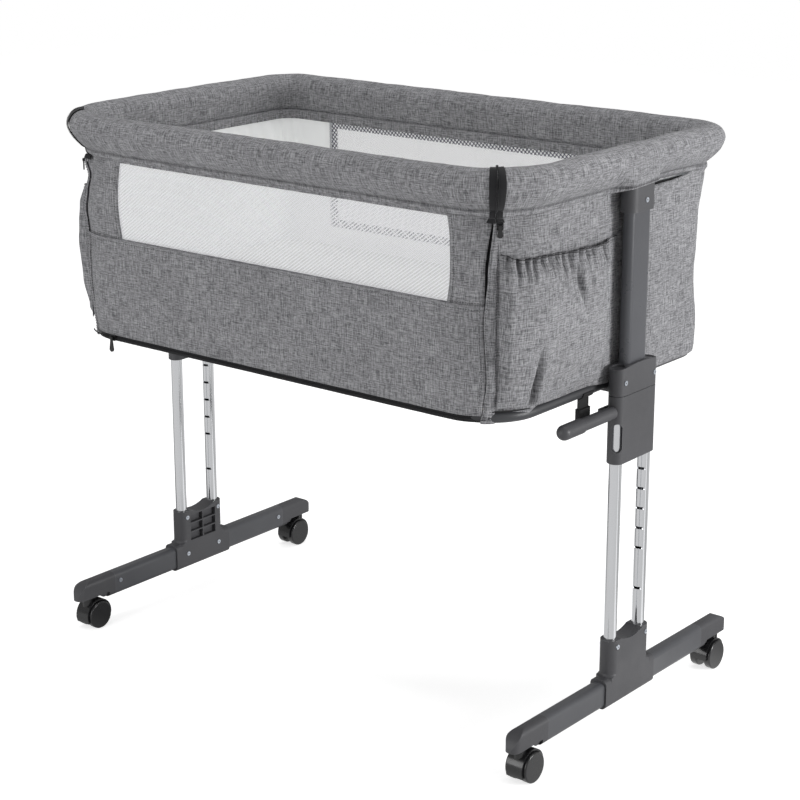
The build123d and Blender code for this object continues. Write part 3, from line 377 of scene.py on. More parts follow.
def corners(node_name):
    """Low and high corner of the box round a CAD node."""
    return [Vector(corner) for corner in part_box(node_name)]


white_cotton = fabric("white_cotton", (0.80, 0.80, 0.78), (0.73, 0.73, 0.71), 900, 0.25)
mattress = merged_copy("mattress_pad", "mattress")
pad_low, pad_high = corners("mattress")
pad_middle = (pad_low + pad_high) / 2
pad_swell = 0.006
pad_grain = 0.0075
pad_sole = 0.004
pad_shrink = 1 - 2 * pad_swell / (pad_high.x - pad_low.x)
for point in mattress.data.vertices:
    point.co.x = pad_middle.x + (point.co.x - pad_middle.x) * pad_shrink
    point.co.y = pad_middle.y + (point.co.y - pad_middle.y) * pad_shrink
mattress.data.remesh_voxel_size = pad_grain
bpy.context.view_layer.objects.active = mattress
bpy.ops.object.voxel_remesh()
puff(mattress, pressure=1.2, cap=pad_swell, frames=12, held=lambda point: point.z < pad_low.z + pad_sole)
smooth(mattress)
mattress.data.materials.append(white_cotton)
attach(mattress, "cot")
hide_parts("mattress")

# ---------------- lines of the cot
# Every cloth piece follows the rim's steel tube, which runs straight between round corners, wider ones in
# front.  Places on the cloth are a distance along that line, an offset out from it, and a height.
sleeve_low, sleeve_high = corners("rear_sleeve")
pad_radius = 0.021
rim_height = sleeve_high.z - pad_radius
rim_end = sleeve_high.x - pad_radius
rim_back = sleeve_high.y - pad_radius
rim_front = corners("front_sleeve")[0].y + pad_radius
hem = sleeve_low.z
front_corner = 0.090
rear_corner = 0.050
front_run = rim_end - front_corner
front_bend = front_corner * math.pi / 2
end_run = (rim_back - rear_corner) - (rim_front + front_corner)
rear_bend = rear_corner * math.pi / 2
rear_run = rim_end - rear_corner
end_first = front_run + front_bend
end_last = end_first + end_run
rear_turn = end_last + rear_bend / 2
end_limit = end_last + rear_bend
half_line = end_limit + rear_run
zip_turn = math.radians(40)
zip_run = front_run + front_corner * zip_turn
seam = 0.0008
cloth_inset = 0.010
cloth_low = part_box("end_panel_right")[0][2]
corner_middle = front_run + front_corner * math.radians(51)


def rim_line(run):
    """Point on the rim's line and its outward direction, by distance from the front's middle."""
    side = 1 if run >= 0 else -1
    run = abs(run)
    if run <= front_run:
        x, y, turn = run, rim_front, 0.0
    elif run <= end_first:
        turn = (run - front_run) / front_corner
        x = front_run + front_corner * math.sin(turn)
        y = rim_front + front_corner * (1 - math.cos(turn))
    elif run <= end_last:
        turn = math.pi / 2
        x, y = rim_end, rim_front + front_corner + run - end_first
    elif run <= end_limit:
        turn = math.pi / 2 + (run - end_last) / rear_corner
        x = rim_end - rear_corner + rear_corner * math.sin(turn)
        y = rim_back - rear_corner - rear_corner * math.cos(turn)
    else:
        turn = math.pi
        x, y = rim_end - rear_corner - (run - end_limit), rim_back
    return Vector((side * x, y, 0)), Vector((side * math.sin(turn), -math.cos(turn), 0))


def wrap(run):
    """Distance along the rim's line brought back into its range."""
    return run if run <= half_line else run - 2 * half_line


def ease(value, low, high):
    """Smooth step from 0 at low to 1 at high."""
    t = min(1.0, max(0.0, (value - low) / (high - low)))
    return t * t * (3 - 2 * t)


def hump(value, middle, width):
    """Soft bump of height 1."""
    return math.exp(-((value - middle) / width) ** 2)


def rumple(run, height, size, seed):
    """Gentle unevenness of cloth between -1 and 1."""
    return noise.noise(Vector((run / size, height / size, seed)))


left_pinch = 0.0065


def bow(run, height):
    """How far the rim stands out; its left-hand front corner is pinched in a little."""
    return -left_pinch * hump(run, -corner_middle, 0.09) * ease(height, 0.70, hem)


def on_cloth(run, offset, height):
    """Place on the cot's cloth."""
    base, out = rim_line(run)
    return base + out * (offset + bow(run, height)) + Vector((0, 0, height))


def graded(value, table):
    """Value read from a table of (place, value), smooth between its entries."""
    if value <= table[0][0]:
        return table[0][1]
    for (low, first), (high, last) in zip(table, table[1:]):
        if value <= high:
            return first + (last - first) * ease(value, low, high)
    return table[-1][1]


right_tuck = [(0.505, 0.008), (0.550, 0.0), (0.715, 0.0), (0.767, 0.013)]
left_tuck = [
    (0.505, 0.009), (0.540, 0.004), (0.600, 0.0), (0.645, -0.001), (0.685, -0.005), (0.715, 0.0), (0.742, 0.006),
    (0.767, 0.010),
]


def corner_pull(run, height):
    """How far the cloth is drawn in at a front corner, where its zip pulls it together except at the slider."""
    seat = hump(abs(run), zip_run, 0.018) * hump(height, hem - 0.012, 0.020)
    tuck = graded(height, right_tuck if run > 0 else left_tuck) * hump(abs(run), corner_middle, 0.05)
    return tuck * (1 - seat) + bow(run, height) * seat


def lay(name, rows, across, along, closed=False, keep=None, folds=None, side=1):
    """Cloth mesh from rows of points, with its map in metres; closed rows make a tube with capped ends.

    Folds gives how deep in a fold each point lies, from 0 to 1; it is stored as the fold attribute, whose painted
    shade darkens the cloth there.  Side is -1 for rows that run the other way.
    """
    rows, across, along, folds = rows[::side], across[::side], along[::side], folds and folds[::side]
    count = len(rows[0])
    points = [point for row in rows for point in row]
    faces, maps = [], []
    for i in range(len(rows) - 1):
        for j in range(count if closed else count - 1):
            k = (j + 1) % count
            if keep and not keep(i, j):
                continue
            faces.append((i * count + j, (i + 1) * count + j, (i + 1) * count + k, i * count + k))
            maps += [
                (across[i][j], along[i][j]),
                (across[i + 1][j], along[i + 1][j]),
                (across[i + 1][k], along[i + 1][j + 1]),
                (across[i][k], along[i][j + 1]),
            ]
    if closed:
        last = (len(rows) - 1) * count
        faces.append(tuple(range(count)))
        faces.append(tuple(range(last + count - 1, last - 1, -1)))
        maps += [(points[j].y, points[j].z) for j in range(count)]
        maps += [(points[last + j].y, points[last + j].z) for j in range(count - 1, -1, -1)]
    made = plain_mesh(name, points, faces)
    layer = made.data.uv_layers.new(name="cloth_map")
    for loop, place in zip(layer.data, maps):
        loop.uv = place
    if folds:
        depth = made.data.attributes.new("fold", "FLOAT", "POINT")
        depth.data.foreach_set("value", [min(1.0, max(0.0, value)) for row in folds for value in row])
    smooth(made)
    return made


def spread(first, last, step):
    """Even values from first to last, about step apart."""
    count = max(1, round(abs(last - first) / step))
    return [first + (last - first) * i / count for i in range(count + 1)]


def cloth(name, cells, place, keep=None, side=1):
    """Cloth mesh from rows of (distance, height) cells, each put where place says."""
    rows = [[place(*cell) for cell in row] for row in cells]
    across, along = ([[cell[k] for cell in row] for row in cells] for k in (0, 1))
    return lay(name, rows, across, along, keep=keep, side=side)


def grid(runs, heights):
    """Rows of cells at these distances and heights."""
    return [[(run, height) for height in heights] for run in runs]


def hang(piece, body, slot, material, thick, held, rests, replaced=()):
    """Finish one sheet: thickness, finish and body."""
    length = max(piece.dimensions.x, piece.dimensions.y, piece.dimensions.z)
    if thick:
        solid = piece.modifiers.new("thickness", "SOLIDIFY")
        solid.thickness = thick
        solid.offset = -1
        solid.use_even_offset = False
    piece.data.materials.append(material)
    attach(piece, body)
    if replaced:
        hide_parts(*replaced)
    list(rests)


def cloth_place(tree):
    """Place on a cloth's own map, in metres."""
    return node(tree, "ShaderNodeUVMap", settings={"uv_map": "cloth_map"}).outputs["UV"]


# The outer cloth is a grey heather of slub yarns, plain woven, pale threads crossing dark ones.
def heather(name, pale, deep):
    """Plain-woven slub cloth whose threads run along the piece's own map."""
    material, tree, shader = new_material(
        name, pale, 0.88, Sheen_Weight=0.1, Sheen_Roughness=0.5, Specular_IOR_Level=0.2
    )
    place = cloth_place(tree)
    scales = ((44, 660, 1), (680, 40, 1), (130, 1100, 1), (1100, 120, 1))
    strands = [speckle(tree, stretched(tree, place, scale), 1.0, 2.0, Roughness=0.6) for scale in scales]
    total = strands[0]
    for strand in strands[1:]:
        total = combined(tree, "ADD", total, strand)
    slub = mapped(tree, total, 1.72, 2.28)
    shade = mapped(tree, speckle(tree, place, 9.0, 2.0), 0.3, 0.7, 0.93, 1.05)
    tinted = between(tree, 1.0, between(tree, slub, deep, pale), shade, "MULTIPLY")
    # Painted shade: the fold attribute darkens the colour in creases, dents and seam grooves, down to a quarter of
    # the dark thread's.
    fold = node(tree, "ShaderNodeAttribute", settings={"attribute_name": "fold"}).outputs["Fac"]
    feed(shader, Base_Color=between(tree, fold, tinted, [c * 0.25 for c in deep]))
    warp, weft = (
        node(
            tree, "ShaderNodeTexWave", Vector=place, Scale=160.0, Distortion=1.5, settings={"bands_direction": way}
        ).outputs["Fac"]
        for way in "XY"
    )
    raised = combined(tree, "MULTIPLY_ADD", slub, 1.5, combined(tree, "MULTIPLY", warp, weft))
    relief(tree, shader, 0.45, 0.0005, raised)
    return material


grey_heather = heather("grey_heather", (0.40, 0.40, 0.415), (0.105, 0.105, 0.112))
grey = ("grey_cloth", grey_heather)

# ---------------- padded rim
# The steel rim is wrapped in a padded cover of the same grey cloth.  Its two edges come together
# under the tube and are top-stitched 10 mm above the hem, which stands a little off the wall.
rim_profile = [
    (-0.0066, -0.0424), (-0.0036, -0.0400), (-0.0024, -0.0362), (-0.0021, -0.0340), (-0.0021, -0.0322),
    (0.0024, -0.0297), (0.0082, -0.0235), (0.0132, -0.0172), (0.0172, -0.0110), (0.0198, -0.0048),
]
rim_profile += [
    (pad_radius * math.cos(math.radians(a)), pad_radius * math.sin(math.radians(a))) for a in range(0, 181, 12)
]
rim_profile += [
    (-0.0212, -0.0060), (-0.0206, -0.0130), (-0.0198, -0.0200), (-0.0188, -0.0270), (-0.0178, -0.0325),
    (-0.0172, -0.0370), (-0.0160, -0.0410), (-0.0128, -0.0430),
]
rim_lengths = [0.0]
for here, there in zip(rim_profile, rim_profile[1:] + rim_profile[:1]):
    rim_lengths.append(rim_lengths[-1] + math.dist(here, there))
hem_flare = 0.006
post_middle = sum(corner[1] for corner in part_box("post_right")) / 2
post_run = end_first + post_middle - rim_front - front_corner
over_cap = [
    (0.0196, -0.0325), (0.0213, -0.0336), (0.0223, -0.0324), (0.0226, -0.0310), (0.0228, -0.0290),
    (0.0229, -0.0262), (0.0229, -0.0220), (0.0227, -0.0168), (0.0221, -0.0108), (0.0211, -0.0048),
]
cap_tilt = 0.05
behind_lift = 0.005
corner_puff = 0.0045
# Painted shade in the seam's groove: how much the cloth is darkened at these points of the profile.
seam_painted_shade = {0: 0.35, 3: 0.50, 4: 0.35}


def rim_place(run, j, proud=0.0):
    """Point j round the padding at a distance along the rim, a little proud of the cloth if asked."""
    out, up = rim_profile[j % len(rim_profile)]
    if j < len(over_cap):
        past = abs(run) - post_run
        cover = 1 - ease(abs(past), 0.029, 0.060 if past > 0 else 0.048)
        out += (over_cap[j][0] - out) * cover
        up += (over_cap[j][1] + cap_tilt * (abs(run) - post_run) - up) * cover
        peel = ease(abs(run), post_run + 0.02, post_run + 0.05) * (1 - ease(abs(run), post_run + 0.09, rear_turn))
        up += behind_lift * peel * (1 - cover) * (1 - ease(up, -0.042, -0.024))
    around = rim_lengths[j % len(rim_profile)]
    size = math.hypot(out, up)
    if out > 0:
        out += corner_puff * hump(abs(run), rear_turn, 0.05) * ease(out, 0.0, 0.018)
    puffy = 0.0013 * rumple(run, around * 1.6, 0.055, 3.1) + 0.0006 * rumple(run, around * 2, 0.017, 8.7)
    dimple = ease(up, -0.034, -0.020)
    grow = 1 + (puffy * dimple + proud) / size
    lower = 1 - ease(up, -0.042, -0.026)
    flare = hem_flare * hump(abs(run), rear_turn, 0.055) + 0.0012 * rumple(run, 0.5, 0.05, 5.5)
    if out < -0.009:
        flare *= 0.2
    sag = 0.0010 * rumple(run, up, 0.07, 6.2) * lower
    return on_cloth(run, out * grow + flare * lower, rim_height + up * grow + sag)


for name, body, first, last, cad_node in (
    ("rim_padding_rear", "cot", zip_run + seam / 2, 2 * half_line - zip_run - seam / 2, "rear_sleeve"),
    ("rim_padding_front", "drop_side", -zip_run + seam / 2, zip_run - seam / 2, "front_sleeve"),
):
    runs = spread(first, last, 0.007)
    around = range(len(rim_profile))
    padding = lay(
        name, [[rim_place(wrap(run), j) for j in around] for run in runs],
        [[run for j in around] for run in runs], [rim_lengths for run in runs],
        closed=True, folds=[[seam_painted_shade.get(j, 0.0) for j in around] for run in runs],
    )
    finer = padding.modifiers.new("finer", "SUBSURF")
    finer.levels = finer.render_levels = 1
    padding.data.materials.append(grey_heather)
    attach(padding, body)
    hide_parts(cad_node)

# ---------------- front cloth and its window
# The drop side is one grey cloth with a long window of white net let in under the hem.  Its lower part is a
# second layer whose folded top edge is the window's sill; both ends run to the corner zips.
zip_lean = [(0.497, 0.019), (0.512, 0.015), (0.550, 0.010), (0.630, 0.015), (0.690, 0.010), (0.762, 0.003)]
zip_open = [(0.640, 0.0009), (0.700, 0.0045), (0.735, 0.0042), (0.764, 0.0016)]
rear_waist = [(0.493, 0.0), (0.512, 0.003), (0.545, 0.004), (0.620, -0.001), (0.700, 0.001), (0.762, 0.007)]
roll_low = 0.4945
cloth_top = hem + 0.004


def wall(run, height, proud=0.0):
    """Place on the cot's outer cloth, a little proud of it if asked."""
    tuck = corner_pull(run, height) - graded(height, rear_waist) * hump(abs(run), rear_turn, 0.06)
    loose = ease(height, 0.505, 0.54)
    ripple = 0.0013 * rumple(run, height, 0.075, 1.3) + 0.0006 * rumple(run, height, 0.022, 4.1)
    roll = 0.011 * (1 - ease(height, roll_low - 0.001, 0.503)) * ease(abs(run), 0.66, 0.70)
    return on_cloth(run, proud - cloth_inset - tuck - roll + ripple * loose, height)


def flap_edge(height):
    """Distance along the rim's line at which a corner flap ends and the zip shows."""
    return zip_run - graded(height, zip_lean)


def front_edge(height):
    """Distance along the rim's line at which the front cloth ends."""
    return flap_edge(height) - graded(height, zip_open)


window_low, window_high = corners("front_mesh")
window_sill = window_low.z
window_head = window_high.z
window_pull = 0.006
front_steps = (16, 110, 12)  # columns left of the window, across it and right of it


def window_side(height, side):
    """Distance along the front of the window's left (-1) or right (1) edge."""
    edge = window_high.x if side > 0 else window_low.x
    t = min(1.0, max(0.0, (height - window_sill) / (window_head - window_sill)))
    return edge + side * window_pull * (math.sin(math.pi * t) - 0.5) + 0.0008 * rumple(side, height, 0.03, 2.2)


def three_part(height):
    """Distances along the front at one height: left of the window, across it and right of it."""
    marks = (-front_edge(height), window_side(height, -1), window_side(height, 1), front_edge(height))
    runs = []
    for count, first, last in zip(front_steps, marks, marks[1:]):
        runs += [first + (last - first) * i / count for i in range(count)]
    return runs + [marks[-1]]


def front_sheet(name, heights, proud, keep=None, place=wall):
    """Sheet of the drop side whose columns follow the window's edges."""
    columns = [three_part(height) for height in heights]
    cells = [[(column[i], height) for column, height in zip(columns, heights)] for i in range(sum(front_steps) + 1)]
    return cloth(name, cells, lambda run, height: place(run, height, proud), keep)


sill_lap = 0.008
upper_heights = [window_sill - sill_lap] + spread(window_sill, window_head, 0.008) + [cloth_top]
in_window = range(front_steps[0], front_steps[0] + front_steps[1])
front_upper = front_sheet(
    "front_cloth_upper", upper_heights, 0.0,
    lambda i, j: not (i in in_window and 1 <= j < len(upper_heights) - 2),
)
hang(
    front_upper, "drop_side", *grey, 0.0014, "stretched",
    ["rim_padding_front"], ["front_panel"],
)


def apron_place(run, height, proud):
    """The lower cloth lies over the upper one and rounds back at its folded edge and at its hem."""
    fold = 0.0012 * hump(height, window_sill - 0.0015, 0.003)
    soft = 0.0015 * rumple(run, height, 0.16, 9.4) + 0.0006 * rumple(run, height * 3, 0.03, 7.7)
    return wall(run, height, proud + fold + soft * ease(height, 0.505, 0.53) * (1 - ease(height, 0.62, 0.65)))


apron_heights = spread(cloth_low, window_sill - 0.004, 0.008) + [window_sill - 0.0018, window_sill]
front_lower = front_sheet("front_cloth_lower", apron_heights, 0.0016, place=apron_place)
hang(
    front_lower, "drop_side", *grey, 0.0020, "stretched",
    ["front_cloth_upper", "bottom_tape"],
)


def net(name, thread, pitch, hole, close=1.0, **more):
    """Warp-knitted net: threads round regular holes, which are open and stand closer together along its ribs."""
    material, tree, shader = new_material(name, thread, 0.7, Specular_IOR_Level=0.2, **more)
    turned = node(
        tree, "ShaderNodeMapping", Vector=cloth_place(tree), Rotation=(0, 0, math.radians(36)), Scale=(close, 1, 1),
        settings={"vector_type": "TEXTURE"},
    )
    cells = node(
        tree, "ShaderNodeTexVoronoi", Vector=turned.outputs[0], Scale=1 / pitch, Randomness=0.0,
        settings={"voronoi_dimensions": "2D"},
    ).outputs["Distance"]
    # Painted shade: the threads are darkened towards the edges of the holes.
    painted_edge_shade = mapped(tree, cells, hole, hole + 0.16)
    feed(
        shader, Alpha=mapped(tree, cells, hole - 0.06, hole + 0.06),
        Base_Color=between(tree, painted_edge_shade, [c * 0.55 for c in thread], thread),
    )
    relief(tree, shader, 0.3, 0.0003, cells)
    return material


# Painted light: the white nets glow faintly, with a light of their own that no lamp gives.
painted_glow = {"Emission_Color": (0.95, 0.96, 1.0, 1), "Emission_Strength": 0.07}
white_net = net("white_net", (0.88, 0.88, 0.90), pitch=0.0040, hole=0.29, close=0.5, **painted_glow)
inner_net = net("inner_net", (0.90, 0.90, 0.91), pitch=0.0021, hole=0.27, **painted_glow)
net_inset = 0.0018
net_dish = 0.0015


def net_sheet(name, first, last, low, high, offset):
    """Stretched net between two distances and two heights, dished in a little at its middle."""
    def place(run, height):
        t = (run - first) / (last - first)
        u = (height - low) / (high - low)
        return on_cloth(wrap(run), offset - net_dish * math.sin(math.pi * t) * math.sin(math.pi * u), height)

    return cloth(name, grid(spread(first, last, 0.02), spread(low, high, 0.012)), place)


front_net = net_sheet(
    "front_window_net", window_low.x - 0.010, window_high.x + 0.010,
    window_sill - 0.006, window_head + 0.003, -cloth_inset - net_inset,
)
hang(front_net, "drop_side", "white_mesh", white_net, 0, "stretched", ["front_cloth_upper"], ["front_mesh"])

# ---------------- end and rear cloth
# Three grey cloths close the rest of the cot: one round each end, from the corner zip to the rear corner,
# and one along the back with a second net window.  They are sewn to the rim and tucked under the frame.
end_hem = [
    (0.405, 0.4965), (0.430, 0.4985), (0.462, 0.5120), (0.560, 0.5120), (0.630, 0.5060),
    (0.690, roll_low), (0.900, roll_low),
]
end_top = [(0.670, 0.0), (0.705, -0.009), (0.760, -0.008), (0.840, 0.0)]
end_shares = spread(0.0, 0.96, 0.03) + [0.972, 0.98, 0.988, 1.0]
rear_low, rear_high = corners("rear_mesh")


def end_place(run, height):
    """Place on an end's cloth, whose panels belly a little behind the post."""
    belly = 0.003 * hump(abs(run), 0.74, 0.05) * hump(height, 0.60, 0.08)
    fold = 0.0015 * math.sin(abs(run) * 95 + 3 * height) * hump(abs(run), 0.83, 0.05) * ease(height, 0.60, 0.76)
    edge = cloth_top + graded(abs(run), end_top)
    piping = 0.0022 * hump(height, edge - 0.0030, 0.0024) * ease(abs(run), 0.66, 0.70)
    return wall(run, height, belly + fold + piping)


for side_name, side in sides:
    cells = []
    for t in spread(0.0, 1.0, 0.008):
        row = []
        for u in end_shares:
            rough = cloth_low + (cloth_top - cloth_low) * u
            run = flap_edge(rough) + 0.004 + (end_limit - flap_edge(rough) - 0.004) * t
            low = graded(run, end_hem) + 0.0008 * rumple(run, 0.4, 0.03, 1.9 + side)
            row.append((side * run, low + (cloth_top + graded(run, end_top) - low) * u))
        cells.append(row)
    end_cloth = cloth(f"end_cloth_{side_name}", cells, end_place, side=side)
    hang(
        end_cloth, "cot", *grey, 0.0014, "stretched",
        ["rim_padding_rear", "lower_frame"], [f"end_panel_{side_name}"],
    )

slack = 0.0001
rear_marks = (half_line - rear_high.x, half_line + rear_high.x)
rear_runs = [
    run for run in spread(end_limit, 2 * half_line - end_limit, 0.010)
    if min(abs(run - mark) for mark in rear_marks) > 0.004
]
rear_runs = sorted(rear_runs + list(rear_marks))
rear_heights = [roll_low, 0.4965, 0.500, cloth_low] + spread(cloth_low + 0.01, rear_low.z, 0.010)
rear_heights += [rear_high.z, cloth_top]
rear_cloth = cloth(
    "rear_cloth", grid(rear_runs, rear_heights), lambda run, height: wall(wrap(run), height),
    lambda i, j: not (
        rear_marks[0] - slack < rear_runs[i] < rear_marks[1] - slack and rear_heights[j] > rear_low.z - slack
        and rear_heights[j + 1] < rear_high.z + slack
    ),
)
hang(
    rear_cloth, "cot", *grey, 0.0014, "stretched",
    ["rim_padding_rear", "lower_frame"], ["rear_panel"],
)
rear_net = net_sheet(
    "rear_window_net", rear_marks[0] - 0.010, rear_marks[1] + 0.010,
    rear_low.z - 0.010, rear_high.z + 0.003, -cloth_inset - net_inset,
)
hang(rear_net, "cot", "white_mesh", inner_net, 0, "stretched", ["rear_cloth"], ["rear_mesh"])

# A coarser dark net, sewn on as a border, frames the rear window on its inner side.
dark_net = net("dark_net", (0.17, 0.17, 0.21), pitch=0.0050, hole=0.40)
border_width = 0.012
facing_low = hem - 0.0065
border_inset = cloth_inset + 0.0034
border_runs = [rear_marks[0], rear_marks[0] + border_width]
border_runs += spread(rear_marks[0] + 0.02, rear_marks[1] - 0.02, 0.02)
border_runs += [rear_marks[1] - border_width, rear_marks[1]]
border_heights = [rear_low.z, rear_low.z + border_width] + spread(rear_low.z + 0.02, facing_low - 0.03, 0.02)
border_heights += [facing_low - 0.010, hem]
rear_border = cloth(
    "rear_window_border", grid(border_runs, border_heights),
    lambda run, height: on_cloth(wrap(run), -border_inset, height),
    lambda i, j: i in (0, len(border_runs) - 2) or j in (0, len(border_heights) - 2),
)
hang(rear_border, "cot", "white_mesh", dark_net, 0, "stretched", ["rear_cloth"])

# ---------------- white lining
# Inside, the grey cloth is lined with thin white cotton, left loose between the rim and the mattress.
# The drop side has its own lining, cut out at the window.
lining_inset = 0.0185
lining_low = cloth_low + 0.004
lining_top = hem + 0.003
lining_white = fabric(
    "lining_white", (0.93, 0.93, 0.915), (0.88, 0.88, 0.855), 1100, 0.2,
    Emission_Color=(0.90, 0.94, 1.0, 1), Emission_Strength=0.14,  # painted glow, a light of the lining's own that lightens it beyond what the lamps give
)


def lining_place(run, height):
    """Place on the lining, which hangs in loose upright folds at the cot's ends."""
    free = ease(abs(run), front_run, front_run + 0.06) * (1 - ease(abs(run), end_limit - 0.01, end_limit + 0.05))
    phase = abs(run) * 230 + 40 * height + 2.5 * rumple(run, height, 0.09, 3.3)
    folds = 0.0042 * math.sin(phase) * ease(height, 0.62, hem)
    sway = 0.004 * rumple(run, height, 0.11, 6.6)
    pinned = ease(lining_top + 0.002 - height, 0.0, 0.035)
    drawn = 1.1 * corner_pull(run, height)
    return on_cloth(run, -lining_inset - drawn + (folds * free + sway * free) * pinned * 0.8, height)


lining_runs = spread(zip_run + 0.004, end_limit, 0.006) + spread(end_limit + 0.008, rear_marks[0], 0.012)
lining_runs += spread(rear_marks[0] + 0.012, rear_marks[1] - 0.012, 0.02)
lining_runs += [2 * half_line - run for run in lining_runs[::-1] if run <= rear_marks[0]]
lining_heights = spread(lining_low, rear_low.z, 0.010) + spread(rear_low.z + 0.010, lining_top, 0.010)
cot_lining = cloth(
    "cot_lining", grid(lining_runs, lining_heights), lambda run, height: lining_place(wrap(run), height),
    lambda i, j: not (
        rear_marks[0] - slack <= lining_runs[i] < rear_marks[1] - slack and lining_heights[j] > rear_low.z - slack
    ),
)
hang(cot_lining, "cot", "mattress_cloth", lining_white, 0.0008, "hung", ["rim_padding_rear", "mattress_pad"])

# Above the lining the rim's grey cloth is carried down as a narrow facing.
facing_runs = spread(zip_run + 0.004, 2 * half_line - zip_run - 0.004, 0.008)
facing_heights = [facing_low, facing_low + 0.0015] + spread(facing_low + 0.005, hem + 0.008, 0.005)


def facing_place(run, height):
    """Place on the facing, which stands just outside the lining's top edge."""
    base = lining_place(wrap(run), lining_top)
    ripple = 0.0008 * rumple(run, height, 0.03, 5.2) - 0.0022
    return base + rim_line(wrap(run))[1] * ripple + Vector((0, 0, height - lining_top))


rim_facing = cloth("rim_facing", grid(facing_runs, facing_heights), facing_place)
hang(rim_facing, "cot", *grey, 0.0012, "stretched", ["rim_padding_rear", "cot_lining"])

lining_steps = [lining_low] + spread(0.52, window_sill, 0.012) + spread(window_sill + 0.012, window_head, 0.012)
lining_steps += [lining_top]
front_lining = front_sheet(
    "front_lining", lining_steps, 0.0,
    lambda i, j: not (i in in_window and window_sill - slack < lining_steps[j] < window_head - slack),
    lambda run, height, proud: on_cloth(run, 0.003 - lining_inset - 1.1 * corner_pull(run, height), height),
)
hang(front_lining, "drop_side", "mattress_cloth", lining_white, 0.0008, "hung", ["rim_padding_front"])

# ---------------- bottom cloth
# A black cloth is stretched under the board and sewn to the walls all round.
floor_low, floor_high = corners("floor_cloth")
black_cloth = fabric("black_cloth", (0.020, 0.020, 0.022), (0.011, 0.011, 0.012), 700, 0.3)
bottom_cloth = merged_copy("bottom_cloth", "floor_cloth")
for point in bottom_cloth.data.vertices:
    point.co.z = min(point.co.z, floor_high.z - 0.0002)
bottom_cloth.data.materials.append(black_cloth)
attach(bottom_cloth, "cot")
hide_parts("floor_cloth")

# ---------------- end pockets
# Each end has a pocket of the grey cloth from the corner zip back to the post.  Elastic gathers its mouth,
# so it bellies out below and falls in short folds; its sides and bottom are sewn down.
pocket_low, pocket_high = corners("end_pocket_right")
pocket_first = zip_run + 0.006
pocket_last = end_first + (pocket_high.y - (rim_front + front_corner)) + 0.027
pocket_foot = pocket_low.z - 0.005
pocket_belly = 0.0165
pocket_step = 0.0016
pocket_seeds = {1: 11.3, -1: 61.7}
gather_pitch = 0.0150
groove_run, groove_height, groove_slant = 0.524, 0.686, 0.24
crease_run, crease_height, crease_slant = 0.439, 0.516, 0.13
mouth_line = [
    (pocket_first, 0.7200), (pocket_first + 0.030, 0.7125), (0.470, 0.7110), (0.525, 0.7070), (0.586, 0.7055),
    (pocket_last, 0.7095),
]
mouth_lift = [(0.0, 0.0), (0.07, 0.34), (0.28, 0.80), (0.60, 1.0), (0.86, 0.86), (1.0, 0.42)]


def gathers(run, down, seed):
    """Narrow dents that the elastic makes in the cloth under it, each with its own depth and length."""
    place = run / gather_pitch + 0.9 * rumple(run, 0.3, 0.05, seed)
    total = 0.0
    for k in range(math.floor(place) - 1, math.floor(place) + 2):
        own = noise.noise(Vector((k * 3.73, seed, 0.5)))
        lean = 0.35 * noise.noise(Vector((k * 5.11, seed, 7.5))) * down / 0.02
        depth = (0.95 + 0.9 * own) * hump(place, k + 0.5 + lean, 0.21)
        total += depth * math.exp(-((down / (0.021 + 0.022 * own)) ** 2))
    return max(0.0, total)


def pocket_point(run, t, side, proud=0.0):
    """Place on a pocket at a share t of the way from its foot to its mouth, and how deep in a fold it lies, which
    darkens the cloth there as painted shade.
    """
    seed = pocket_seeds[side]
    height = pocket_foot + (graded(run, mouth_line) - pocket_foot) * t
    sides = ease(run, pocket_first, pocket_first + 0.014) * (1 - ease(run, pocket_last - 0.036, pocket_last - 0.014))
    sides *= 1 - 0.6 * ease(run, 0.580, 0.603) * (1 - ease(height, 0.535, 0.56))
    belly = pocket_belly * graded(t, mouth_lift) * sides
    down = (1 - t) * (graded(run, mouth_line) - pocket_foot)
    dent = gathers(run, down, seed)
    broad = rumple(run * 2.2, height * 0.45, 0.030, seed + 2) * math.exp(-down / 0.09)
    tight = 0.0016 * math.exp(-down / 0.02) - 0.0058 * dent
    loose = 0.0042 * broad
    crumple = 0.0022 * rumple(run, height * 0.7, 0.045, seed + 5) + 0.0008 * rumple(run, height, 0.014, seed + 7)
    lean = run - groove_run - groove_slant * (groove_height - height)
    groove = -0.0075 * hump(lean, 0.0, 0.0042) * hump(height, 0.664, 0.026)
    ridge = 0.0040 * hump(lean, 0.009, 0.006) * hump(height, 0.662, 0.03)
    slant = run - crease_run - crease_slant * (height - crease_height)
    crease = -0.0085 * hump(slant, 0.0, 0.0036) * (1 - ease(height, 0.550, 0.612))
    lap = 0.0050 * hump(slant, 0.009, 0.007) * (1 - ease(height, 0.54, 0.62))
    offset = belly + sides * (tight + loose + crumple + groove + ridge + crease + lap)
    # Painted shade: the elastic's dents, the groove, the crease and the broad hollows darken the cloth's colour.
    fold = 0.50 * dent - 62 * groove - 55 * crease - 0.16 * broad
    place = on_cloth(side * run, -cloth_inset + 0.0016 + max(0.0, offset) + proud, height)
    return place, fold * sides


def pocket_line(t, first, last, side, proud):
    """Line along a pocket at a share t of the way from its foot to its mouth."""
    return [pocket_point(run, t, side, proud)[0] for run in spread(first, last, pocket_step)]


for side_name, side in sides:
    shares = spread(0.0, 1.0, 0.014)
    runs = spread(pocket_first, pocket_last, pocket_step)
    places = [[pocket_point(run, t, side) for t in shares] for run in runs]
    rows, folds = ([[pair[k] for pair in row] for row in places] for k in (0, 1))
    pocket = lay(
        f"pocket_cloth_{side_name}", rows, [[side * run for t in shares] for run in runs],
        [[point.z for point in row] for row in rows], folds=folds, side=side,
    )
    hang(
        pocket, "cot", *grey, 0.0012, "gathered",
        [f"end_cloth_{side_name}"], [f"end_pocket_{side_name}"],
    )

